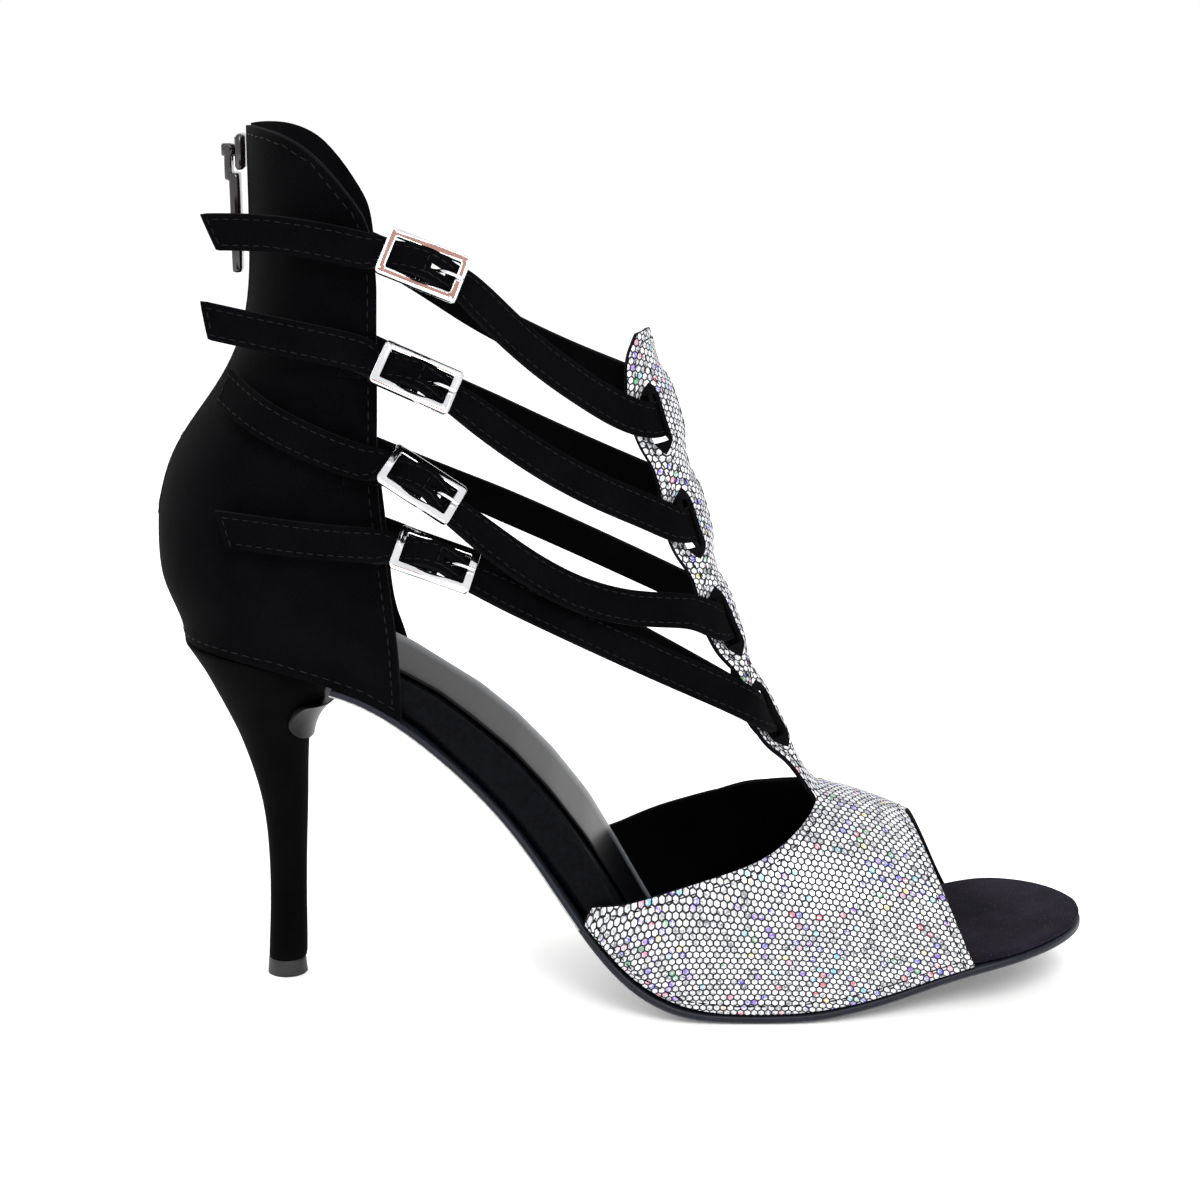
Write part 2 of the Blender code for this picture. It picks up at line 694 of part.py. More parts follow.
def make_vamp():
    """Vamp and T-bar: one wall over the ball of the foot and up the instep."""
    outer = [math.radians(row[0]) for row in THROAT_TABLE[:-2]]
    bar = [math.radians(90 + (90 - BAR_TURN) * place) for place in BAR_COLUMNS]
    inner = [math.pi - turn for turn in reversed(outer)]
    turns = outer + bar + inner
    bm = bmesh.new()
    rows = [[bm.verts.new(vamp_point(turn, part)) for turn in turns] for part in VAMP_ROWS]
    for upper, lower in zip(rows, rows[1:]):
        for c in range(len(turns) - 1):
            bm.faces.new((upper[c], upper[c + 1], lower[c + 1], lower[c]))
    below = rows[0][len(outer):len(outer) + len(bar)]
    root = [vert.co.copy() for vert in below]
    low = 0.0
    for climb in bar_climbs():
        blend = ease(0.0, 0.08, climb)
        row = []
        for place, start in zip(BAR_COLUMNS, root):
            point = bar_point(climb, place, slot_push(climb, place))[0]
            raised = start + bar_middle(climb) - bar_middle(0.0)
            row.append(bm.verts.new(raised.lerp(point, blend)))
        for c in range(len(row) - 1):
            if not in_slot(low, climb, BAR_COLUMNS[c], BAR_COLUMNS[c + 1]):
                bm.faces.new((below[c], row[c], row[c + 1], below[c + 1]))
        below = row
        low = climb
    return walled("vamp", bm, VAMP_WALL, -1, (0.62, 0.63, 0.66), 0.35, away_from_last)


def away_from_last(point):
    """Direction from the inside of the forefoot to a point of the upper."""
    return point - Vector((along_x(0.55), 0, INSTEP_HEIGHT * 0.1))


def horseshoe(place, back, front, curve, side):
    """Point of a horseshoe; place is 0 at its back, -1 and 1 at its outer and inner ends."""
    if abs(place) < CURVE_SHARE:
        turn = abs(place) / CURVE_SHARE * math.pi / 2
        return Vector((back + curve * (1 - math.cos(turn)), math.copysign(side * math.sin(turn), place), 0))
    part = (abs(place) - CURVE_SHARE) / (1 - CURVE_SHARE)
    return Vector((back + curve + (front - back - curve) * part, math.copysign(side, place), 0))


def counter_foot(place):
    """Lower edge of the counter, on the sole's outline."""
    foot = horseshoe(place, SEAT_INSET - HEEL_OVERHANG, along_x(0.27), SEAT_RADIUS, 1)
    share = (foot.x + HEEL_OVERHANG) / SHOE_LENGTH
    base, forward, up = sole_frame(share)
    side = math.copysign(half_width(share), place)
    return Vector((foot.x, base.y + side, base.z + (OUTSOLE_THICKNESS + GAP) / up.z))


def counter_point(place, z):
    """Outer surface of the counter; place is 0 at the back and -1 at the outer front edge."""
    rise = (z - HEEL_RISE) / COUNTER_RISE
    back = smooth(COUNTER_TABLE, BACK, rise) * SHOE_LENGTH
    front = smooth(COUNTER_TABLE, FRONT, rise) * SHOE_LENGTH
    if place > 0:
        front -= INNER_FRONT_BACK * ease(INNER_FRONT_LOW, INNER_FRONT_HIGH, rise)
    side = smooth(COUNTER_TABLE, ROUND, rise) * BALL_WIDTH
    curve = min(COUNTER_CURVE, CURVE_REACH * (front - back))
    section = horseshoe(place, back, front, curve, side)
    section.z = z
    foot = counter_foot(place)
    above = z - foot.z
    foot.z = z
    return foot.lerp(section, ease(0.0, COUNTER_FLARE, above))


def counter_skin(place, z, lift):
    """Point at a distance outside the counter's surface."""
    around = counter_point(place + 0.02, z) - counter_point(place - 0.02, z)
    up = counter_point(place, z + MM) - counter_point(place, z - MM)
    normal = up.cross(around).normalized()
    point = counter_point(place, z)
    if normal.dot(point - Vector((along_x(0.25), 0, z))) < 0:
        normal.negate()
    return point + normal * lift


def place_behind(side, z, distance):
    """Place on the counter at a distance behind its front edge, on one side."""
    part = 1.0
    walked = 0.0
    before = counter_point(side, z)
    while walked < distance and part > 0:
        part -= 0.01
        point = counter_point(side * part, z)
        walked += (point - before).length
        before = point
    return side * part


def counter_rise(place, z):
    """Direction up the counter's wall."""
    reach = STRAP_WIDTH / 2
    return (counter_point(place, z + reach) - counter_point(place, z - reach)).normalized()


def counter_top(place):
    """Upper edge of the counter, with its front corner rounded off."""
    top = HEEL_RISE + COUNTER_RISE
    start = CORNER_START * SHOE_LENGTH
    front = counter_point(math.copysign(1, place), top).x
    part = min(1.0, max(0.0, (counter_point(place, top).x - start) / (front - start)))
    return top - COUNTER_CORNER * (1 - math.sqrt(1 - part * part))


def make_counter():
    """Heel counter: one wall from the seat to the ankle, slit at the back for the zip."""
    inner = list(COUNTER_PLACES)
    places = [-place for place in reversed(inner)] + [0.0] + inner
    points = []
    for part in COUNTER_ROWS:
        row = []
        for place in places:
            low = counter_foot(place).z
            row.append(counter_point(place, low + (counter_top(place) - low) * part))
        points.append(row)
    middle = len(inner)

    def keep(row, column):
        """Leave out the cells of the slit."""
        return row < SLIT_ROW or column not in (middle - 1, middle)

    bm = sheet(points, keep)
    return walled("counter", bm, COUNTER_WALL, -1, (0.01, 0.01, 0.012), 0.95, away_from_heel)


def away_from_heel(point):
    """Direction from the inside of the counter to a point of its wall."""
    return point - Vector((along_x(0.25), 0, point.z))


def buckle_frame(index):
    """Place and directions of a buckle: middle, towards the heel, up its width and outwards."""
    along, side, height, slope, tilt = BUCKLE_TABLE[index]
    origin = Vector((along_x(along), -side * BALL_WIDTH, HEEL_RISE + height * COUNTER_RISE))
    slope = math.radians(slope)
    tilt = math.radians(tilt)
    heelward = Vector((-math.cos(slope), 0, math.sin(slope)))
    level_out = Vector((0, -1, 0))
    level_up = Vector((math.sin(slope), 0, math.cos(slope)))
    out = level_out * math.cos(tilt) + level_up * math.sin(tilt)
    up = level_up * math.cos(tilt) - level_out * math.sin(tilt)
    return origin, heelward, up, out


def strap_lift():
    """Height of the strap over the buckle's centre bar."""
    return CENTRE_BAR_RADIUS - CENTRE_BAR_DROP + CHAPE_THICKNESS + STRAP_THICKNESS / 2 + 2 * GAP


def strap_route(index):
    """Middle points and width directions of a strap, from the inner side to its loose end."""
    climb = SLOT_CLIMBS[index]
    inner_height, sag_inner, sag_outer, bow, steep, tail = STRAP_TABLE[index]
    lap = GAP + LAP_ROOM + STRAP_THICKNESS / 2
    upright = Vector((0, 0, 1))
    route = []
    anchor = HEEL_RISE + inner_height * COUNTER_RISE
    for behind, above, lift in INNER_LAP:
        z = anchor + above * MM
        place = place_behind(1, z, behind * SHOE_LENGTH)
        route.append((counter_skin(place, z, lap + lift * MM), counter_rise(place, z)))
    bar = []
    for place, above, lift in BAR_CROSSING:
        above *= steep if place < 0 else 1
        point, rise = bar_point(climb + above * MM / bar_length(), place, lift * MM - VAMP_WALL / 2 - BAR_INSET)
        bar.append((point, rise))
    start = route[-1][0]
    end = bar[0][0]
    for part in (0.25, 0.5, 0.75):
        point = start.lerp(end, part) + Vector((0, 1, 0)) * bow * MM * math.sin(math.pi * part)
        point.z -= sag_inner * MM * math.sin(math.pi * part)
        route.append((point, upright.lerp(bar[0][1], part).normalized()))
    route += bar
    origin, heelward, up, out = buckle_frame(index)
    under = -(BUCKLE_THICKNESS / 2 + GAP + STRAP_THICKNESS / 2)
    over = strap_lift()
    bar_at = (BUCKLE_LENGTH - BUCKLE_BAR) / 2
    buckle = []
    inner = bar_at - BUCKLE_BAR / 2 + 0.1 * MM
    for at, lift in (
        (-bar_at - 1.6 * MM, under - 0.4 * MM),
        (-inner, under - 0.15 * MM),
        (-3.5 * MM, over - 1.0 * MM),
        (0, over),
        (3.5 * MM, over - 1.0 * MM),
        (inner, under - 0.15 * MM),
        (bar_at + 1.6 * MM, under - 0.3 * MM),
    ):
        buckle.append((origin + heelward * at + out * lift, up))
    start = bar[-1][0]
    end = buckle[0][0]
    for part in (0.25, 0.5, 0.75):
        point = start.lerp(end, part) - Vector((0, 1, 0)) * bow * MM * math.sin(math.pi * part)
        point.z -= sag_outer * MM * math.sin(math.pi * part)
        route.append((point, bar[-1][1].lerp(up, part).normalized()))
    route += buckle
    high = 2 * GAP + LAP_ROOM + CHAPE_THICKNESS + STRAP_THICKNESS / 2
    for behind, share, lift in tail:
        z = HEEL_RISE + share * COUNTER_RISE
        place = place_behind(-1, z, behind * SHOE_LENGTH)
        route.append((counter_skin(place, z, high + lift * MM), counter_rise(place, z)))
    for far, share in FREE_ENDS[index]:
        step = (route[-1][0] - route[-2][0]).normalized() * far * SHOE_LENGTH
        point = route[-1][0] + step
        point.z = HEEL_RISE + share * COUNTER_RISE
        route.append((point, route[-1][1]))
    return route


def sample(route, per_span):
    """Points, width directions and surface normals at even steps along a route."""
    spans = len(route) - 1
    count = spans * per_span
    middles = [flow([pair[0] for pair in route], i / count) for i in range(count + 1)]
    widths = [flow([pair[1] for pair in route], i / count) for i in range(count + 1)]
    result = []
    for i, middle in enumerate(middles):
        ahead = middles[min(i + 1, count)] - middles[max(i - 1, 0)]
        ahead.normalize()
        width = (widths[i] - ahead * widths[i].dot(ahead)).normalized()
        result.append((middle, width, ahead.cross(width).normalized()))
    return result


def make_strap(index):
    """A suede strap: a ribbon with its wall, and one punched hole for the prong."""
    per_span = 2
    route = strap_route(index)
    bar_start = 6
    before_buckle = bar_start + len(BAR_CROSSING) + 3
    hole_row = (before_buckle + 2) * per_span - 1
    places = (-0.5, -0.12, 0.12, 0.5)
    rows = []
    path = sample(route, per_span)
    origin, heelward, up, out = buckle_frame(index)
    for i, (middle, width, normal) in enumerate(path):
        away = abs((middle - origin).dot(heelward))
        wide = STRAP_IN_BUCKLE + (STRAP_WIDTH - STRAP_IN_BUCKLE) * ease(0.45 * BUCKLE_LENGTH, 0.7 * BUCKLE_LENGTH, away)
        slant = 0.0
        if i == len(path) - 1:
            slant = TAIL_SLANT
        back = (path[-1][0] - path[-2][0]).normalized()
        rows.append([middle + width * wide * place + back * slant * (place - 0.5) for place in places])

    def keep(row, column):
        """Leave out the punched hole."""
        return not (column == 1 and row in (hole_row, hole_row + 1))

    bm = sheet(rows, keep)
    name = "strap_%d" % (index + 1)
    middle, width, normal = path[len(path) // 2]
    return walled(name, bm, STRAP_THICKNESS, 0, (0.008, 0.008, 0.01), 0.95, lambda point: Vector((0, -1, 0)))


def hoop(rings):
    """A closed body through rings that meet end to end."""
    bm = bmesh.new()
    rows = [[bm.verts.new(point) for point in ring] for ring in rings]
    count = len(rows[0])
    for r, row in enumerate(rows):
        after = rows[(r + 1) % len(rows)]
        for i in range(count):
            j = (i + 1) % count
            bm.faces.new((row[i], row[j], after[j], after[i]))
    return bm


def buckle_matrix(index):
    """Placement of a buckle: X to the heel, Y up its width, Z outwards."""
    origin, heelward, up, out = buckle_frame(index)
    turn = Matrix((heelward, up, out)).transposed().to_4x4()
    return Matrix.Translation(origin) @ turn


def joined(first, second):
    """One mesh from two overlapping bodies."""
    union = first.modifiers.new("join", "BOOLEAN")
    union.operation = "UNION"
    union.solver = "EXACT"
    union.object = second
    bpy.context.view_layer.update()
    graph = bpy.context.evaluated_depsgraph_get()
    mesh = bpy.data.meshes.new_from_object(first.evaluated_get(graph))
    bm = bmesh.new()
    bm.from_mesh(mesh)
    bmesh.ops.triangulate(bm, faces=bm.faces, ngon_method="EAR_CLIP")
    bm.to_mesh(mesh)
    bm.free()
    for old in (first, second):
        bpy.data.objects.remove(old, do_unlink=True)
    return mesh


def bare(name, bm):
    """An object in the cutters' collection."""
    bmesh.ops.recalc_face_normals(bm, faces=bm.faces)
    mesh = bpy.data.meshes.new(name)
    bm.to_mesh(mesh)
    bm.free()
    piece = bpy.data.objects.new(name, mesh)
    piece.hide_render = True
    piece.display_type = "WIRE"
    cutters.objects.link(piece)
    return piece


def buckle_mesh():
    """Rectangular frame with rounded corners and a round centre bar set a little lower."""
    half_x = (BUCKLE_LENGTH - BUCKLE_BAR) / 2
    half_y = (BUCKLE_WIDTH - BUCKLE_BAR) / 2
    corner = BUCKLE_CORNER
    rings = []
    for number, (sx, sy) in enumerate(((1, 1), (-1, 1), (-1, -1), (1, -1))):
        for step in range(3):
            turn = math.pi / 2 * (number + step / 2)
            middle = Vector((sx * (half_x - corner), sy * (half_y - corner), 0))
            out = Vector((math.cos(turn), math.sin(turn), 0))
            ring = []
            for across, high in BUCKLE_SECTION:
                reach = corner + across * BUCKLE_BAR
                ring.append(middle + out * reach + Vector((0, 0, high * BUCKLE_THICKNESS)))
            rings.append(ring)
    frame = bare("frame", hoop(rings))
    bm = bmesh.new()
    turn = Matrix.Rotation(math.pi / 2, 4, "X")
    bmesh.ops.create_cone(
        bm,
        cap_ends=True,
        segments=8,
        radius1=CENTRE_BAR_RADIUS,
        radius2=CENTRE_BAR_RADIUS,
        depth=2 * half_y,
        matrix=Matrix.Translation((0, 0, -CENTRE_BAR_DROP)) @ turn,
    )
    return joined(frame, bare("bar", bm))


def make_buckles():
    """The four buckle frames, which share one mesh."""
    mesh = buckle_mesh()
    for index in range(len(BUCKLE_TABLE)):
        piece = place("buckle_%d" % (index + 1), mesh, (0.75, 0.75, 0.76), 0.08, 1.0)
        piece.matrix_world = buckle_matrix(index)


def make_prong(index):
    """Prong: a round wire that turns round the centre bar and lies on the front bar."""
    reach = CENTRE_BAR_RADIUS + GAP + PRONG_RADIUS
    front = -(BUCKLE_LENGTH - BUCKLE_BAR) / 2
    top = BUCKLE_THICKNESS / 2 + GAP + PRONG_RADIUS
    points = []
    for step in range(5):
        turn = math.radians(20 - 50 * step)
        points.append((reach * math.cos(turn), -CENTRE_BAR_DROP + reach * math.sin(turn)))
    points += [(-2.4 * MM, -CENTRE_BAR_DROP + 0.15 * MM), (-3.6 * MM, 0.25 * MM), (-4.8 * MM, top - 0.1 * MM)]
    points += [(front + 1.3 * MM, top), (front - 1.0 * MM, top)]
    data = bpy.data.curves.new("prong", "CURVE")
    data.dimensions = "3D"
    data.bevel_depth = PRONG_RADIUS
    data.bevel_resolution = 1
    data.use_fill_caps = True
    spline = data.splines.new("POLY")
    spline.points.add(len(points) - 1)
    for point, (x, z) in zip(spline.points, points):
        point.co = (x, 0, z, 1)
    guide = bpy.data.objects.new("prong_guide", data)
    cutters.objects.link(guide)
    bpy.context.view_layer.update()
    graph = bpy.context.evaluated_depsgraph_get()
    mesh = bpy.data.meshes.new_from_object(guide.evaluated_get(graph))
    bpy.data.objects.remove(guide, do_unlink=True)
    bm = bmesh.new()
    bm.from_mesh(mesh)
    bmesh.ops.remove_doubles(bm, verts=bm.verts, dist=0.00001)
    piece = finish("prong_%d" % (index + 1), bm, (0.75, 0.75, 0.76), 0.08, 1.0)
    piece.matrix_world = buckle_matrix(index)


def make_chape(index):
    """Suede loop from the counter's front edge round the centre bar, notched for the prong."""
    origin, heelward, up, out = buckle_frame(index)
    reach = CENTRE_BAR_RADIUS + GAP + CHAPE_THICKNESS / 2
    middle = -CENTRE_BAR_DROP
    route = []
    height = BUCKLE_TABLE[index][2]
    z = HEEL_RISE + (height + CHAPE_RAISE) * COUNTER_RISE
    for behind, lift in ((7.0, 0.0), (3.0, 0.0), (0.3, 0.0)):
        place = place_behind(-1, z, behind * MM)
        point = counter_skin(place, z, 1.2 * GAP + CHAPE_THICKNESS / 2 + lift * MM)
        route.append((point, counter_rise(place, z)))
    for at, lift in ((7.5 * MM, -3.7 * MM), (3.0 * MM, middle - reach - 0.3 * MM)):
        route.append((origin + heelward * at + out * lift, up))
    for step in range(5):
        turn = math.radians(-90 - 45 * step)
        at = reach * math.cos(turn)
        lift = middle + reach * math.sin(turn)
        route.append((origin + heelward * at + out * lift, up))
    route.append((origin + heelward * 2.2 * MM + out * (middle + reach - 0.9 * MM), up))
    places = (-0.5, -0.17, 0.17, 0.5)
    rows = []
    for point, width in route:
        rows.append([point + width * CHAPE_WIDTH * place for place in places])

    def keep(row, column):
        """Leave out the notch where the prong turns round the bar."""
        return not (column == 1 and 4 <= row <= 9)

    bm = sheet(rows, keep)
    name = "chape_%d" % (index + 1)
    return walled(name, bm, CHAPE_THICKNESS, 0, (0.008, 0.008, 0.01), 0.95, lambda point: Vector((0, -1, 0)))


def back_line(part):
    """Point on the back line of the counter, from its seat to its top, and its outward way."""
    low = counter_foot(0.0).z
    z = low + (counter_top(0.0) - low) * part
    point = counter_point(0.0, z)
    rise = counter_point(0.0, z + MM) - counter_point(0.0, z - MM)
    return point, Vector((-rise.z, 0, rise.x)).normalized()


def zip_rows(start, depth, reach):
    """Rows of points that follow the counter's back from a share of its height to the top."""
    low = counter_foot(0.0).z
    high = counter_top(0.0)
    rows = []
    for i in range(ZIP_STEPS + 1):
        z = low + (high - low) * (start + (ZIP_END - start) * i / ZIP_STEPS)
        places = [side * PLACE_PER_WIDTH * reach for side in (-0.5, -0.25, 0.0, 0.25, 0.5)]
        rows.append([counter_skin(place, z, -depth) for place in places])
    return rows


def make_zip():
    """Zip tape inside the counter, the chain in its slit, the slider at the top and its pull."""
    depth = COUNTER_WALL + GAP + TAPE_THICKNESS / 2 + 0.1 * MM
    tape = sheet(zip_rows(TAPE_START, depth, TAPE_WIDTH))
    walled("zip_tape", tape, TAPE_THICKNESS, 0, (0.01, 0.01, 0.012), 0.9, lambda point: Vector((-1, 0, 0)))
    depth = COUNTER_WALL - CHAIN_THICKNESS / 2 - 0.1 * MM
    chain = sheet(zip_rows(CHAIN_START, depth, CHAIN_WIDTH))
    walled("zip_chain", chain, CHAIN_THICKNESS, 0, (0.05, 0.05, 0.055), 0.35, lambda point: Vector((-1, 0, 0)))


def block(name, x, y, z, round_edge, steps=1):
    """A box with rounded edges between three pairs of limits."""
    bm = bmesh.new()
    size = [high - low for low, high in (x, y, z)]
    middle = [(high + low) / 2 for low, high in (x, y, z)]
    bmesh.ops.create_cube(bm, size=1, matrix=Matrix.Translation(middle) @ Matrix.Diagonal((*size, 1)))
    bmesh.ops.bevel(
        bm,
        geom=bm.edges,
        offset=round_edge,
        segments=steps,
        profile=0.5,
        affect="EDGES",
        clamp_overlap=True,
    )
    return bare(name, bm)


def rod(name, place, radius, length):
    """A cylinder along Y."""
    bm = bmesh.new()
    turn = Matrix.Rotation(math.pi / 2, 4, "X")
    spot = Matrix.Translation(place) @ turn
    bmesh.ops.create_cone(
        bm, cap_ends=True, segments=16, radius1=radius, radius2=radius, depth=length, matrix=spot
    )
    return bare(name, bm)


def cut(first, second):
    """One mesh from a body less another."""
    less = first.modifiers.new("cut", "BOOLEAN")
    less.operation = "DIFFERENCE"
    less.solver = "EXACT"
    less.object = second
    bpy.context.view_layer.update()
    graph = bpy.context.evaluated_depsgraph_get()
    mesh = bpy.data.meshes.new_from_object(first.evaluated_get(graph))
    for old in (first, second):
        bpy.data.objects.remove(old, do_unlink=True)
    return mesh


def again(name, mesh):
    """A mesh back in the cutters' collection, for the next step."""
    piece = bpy.data.objects.new(name, mesh)
    cutters.objects.link(piece)
    return piece


def slider_front():
    """Face of the slider that lies on the chain."""
    point, out = back_line(ZIP_END)
    return point.x - GAP - 0.1 * MM


def slider_top():
    """Upper end of the slider, under the counter's top."""
    return HEEL_RISE + COUNTER_RISE - SLIDER_DROP


def hinge_place():
    """Middle of the pin on which the pull swings, clear of the slider's back."""
    x = slider_front() - SLIDER_BACK - HINGE_ROOM - EYE_RADIUS
    return Vector((x, 0, slider_top() - HINGE_DROP))


def make_slider():
    """Zip slider: a rounded block on the chain with an upright bail that takes the pull's pin."""
    front = slider_front()
    top = slider_top()
    half = SLIDER_WIDTH / 2
    body = block("body", (front - SLIDER_BACK, front), (-half, half), (top - SLIDER_LENGTH, top), 0.6 * MM)
    thin = BAIL_THICKNESS / 2
    hinge = hinge_place()
    high = PIN_RADIUS + BAIL_RIM - 0.2 * MM
    ends = (hinge.x - PIN_RADIUS - BAIL_RIM, front - SLIDER_BACK / 2)
    bail = block("bail", ends, (-thin, thin), (hinge.z - high, hinge.z + high), 0.3 * MM)
    whole = again("whole", joined(body, bail))
    hole = rod("hole", hinge, PIN_RADIUS + GAP, 4 * BAIL_THICKNESS)
    place("zip_slider", cut(whole, hole), (0.03, 0.03, 0.035), 0.25, 1.0)


def make_pull():
    """Pull tab, hanging from its pin: a rounded tongue with a fork round the slider's bail."""
    half = PULL_WIDTH / 2
    lean = PULL_THICKNESS / 2
    neck = slider_top() - SLIDER_LENGTH - hinge_place().z - 2 * GAP
    thick = (PULL_SET_IN - lean, PULL_SET_IN + lean)
    tongue = block("tongue", thick, (-half, half), (-PULL_LENGTH, neck), 0.9 * MM, 2)
    fork = block("fork", (-0.85 * MM, 0.85 * MM), (-2.6 * MM, 2.6 * MM), (neck - 1.8 * MM, 0), 0.3 * MM)
    eye = rod("eye", (0, 0, 0), EYE_RADIUS, 5.2 * MM)
    whole = again("whole", joined(tongue, again("top", joined(fork, eye))))
    slot = BAIL_THICKNESS / 2 + GAP
    reach = PIN_RADIUS + BAIL_RIM + 3 * GAP
    room = block("room", (-4 * MM, 4 * MM), (-slot, slot), (-reach, 4 * MM), 0.1 * MM)
    open_fork = again("open_fork", cut(whole, room))
    pin = rod("pin", (0, 0, 0), PIN_RADIUS, 4.0 * MM)
    piece = place("zip_pull", joined(open_fork, pin), (0.03, 0.03, 0.035), 0.25, 1.0)
    piece.location = hinge_place()


remove_everything()
shoe = new_collection("ballroom_dance_shoe")
cutters = new_collection("cutters")
make_outsole()
make_insole()
make_sock()
make_heel()
make_flap()
make_top_piece()
make_vamp()
make_counter()
make_buckles()
for number in range(len(STRAP_TABLE)):
    make_strap(number)
    make_chape(number)
    make_prong(number)
make_zip()
make_slider()
make_pull()
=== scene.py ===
# %% [markdown]
# This lesson dresses the plain CAD solids of a ballroom dance shoe. The solids give every
# size and place. Here they get smooth surfaces, stitches, suede, glitter, net and chrome.
# The frame is loaded first. The looks may not outgrow it.

# %% Load the frame
import math
import bmesh
import bpy
from mathutils import Matrix, Vector
from mathutils.bvhtree import BVHTree


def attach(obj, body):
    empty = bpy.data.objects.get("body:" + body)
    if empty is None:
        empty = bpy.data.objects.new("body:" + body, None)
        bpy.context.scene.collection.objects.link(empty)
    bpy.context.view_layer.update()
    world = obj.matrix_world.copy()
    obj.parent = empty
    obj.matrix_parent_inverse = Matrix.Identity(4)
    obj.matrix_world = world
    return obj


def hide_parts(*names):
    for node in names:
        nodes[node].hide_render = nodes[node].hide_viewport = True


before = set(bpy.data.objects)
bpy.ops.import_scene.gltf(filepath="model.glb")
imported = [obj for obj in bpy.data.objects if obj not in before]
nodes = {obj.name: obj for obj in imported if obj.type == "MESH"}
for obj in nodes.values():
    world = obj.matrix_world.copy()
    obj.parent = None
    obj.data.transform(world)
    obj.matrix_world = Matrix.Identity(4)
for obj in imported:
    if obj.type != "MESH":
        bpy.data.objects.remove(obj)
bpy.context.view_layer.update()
MM = 0.001


# %% [markdown]
# The shoe was photographed from its outer side, a little from above. The camera stands on
# the -Y side and looks along +Y, tipped down by the photograph's angle. A long lens keeps
# the perspective flat, as on a product photograph.

# %% Camera
VIEW_TILT = math.radians(13.5)
VIEW_DISTANCE = 650 * MM
VIEW_TARGET = Vector((79.7, 0, 97.3)) * MM
FOCAL_LENGTH = 78.96

lens = bpy.data.cameras.new("camera")
lens.lens = FOCAL_LENGTH
lens.sensor_width = 36
lens.clip_start = 0.01
camera = bpy.data.objects.new("camera", lens)
bpy.context.scene.collection.objects.link(camera)
away = Vector((0, -math.cos(VIEW_TILT), math.sin(VIEW_TILT)))
camera.location = VIEW_TARGET + away * VIEW_DISTANCE
camera.rotation_euler = (math.pi / 2 - VIEW_TILT, 0, 0)
bpy.context.scene.camera = camera
print("camera at mm:", [round(c / MM) for c in camera.location])


# %% [markdown]
# Colours are picked as web colours, which are sRGB. Blender's shaders want linear values,
# so one function turns them. A second small function adds a node with its settings and
# its links, which keeps each material as short as a recipe.

# %% Colour and node helpers
def linear(web):
    """Linear colour of a web colour such as #204060."""
    values = [int(web[i:i + 2], 16) / 255 for i in (1, 3, 5)]
    return [v / 12.92 if v <= 0.04045 else ((v + 0.055) / 1.055) ** 2.4 for v in values] + [1]


def add(tree, kind, settings=(), links=()):
    """Add a node: settings are its own fields or its sockets, links feed its sockets."""
    node = tree.nodes.new("ShaderNode" + kind)
    for key, value in dict(settings).items():
        if isinstance(key, str) and hasattr(node, key):
            setattr(node, key, value)
        else:
            node.inputs[key].default_value = value
    for key, source in dict(links).items():
        tree.links.new(source, node.inputs[key])
    return node


def new_material(name):
    """An empty node material, its Principled shader and its tree."""
    made = bpy.data.materials.new(name)
    made.use_nodes = True
    tree = made.node_tree
    tree.nodes.clear()
    shader = add(tree, "BsdfPrincipled")
    add(tree, "OutputMaterial", links={"Surface": shader.outputs["BSDF"]})
    return made, shader, tree


print("helpers ready")


# %% [markdown]
# Suede is split leather whose fibres are brushed up into a nap. It swallows light, so it
# has almost no gloss. What the eye sees is a soft rim of light on the fibres, patches
# where the nap lies another way, and a fine grain. The fibres are about 0.1 mm, too fine
# to show, so the grain is drawn about four times as coarse.

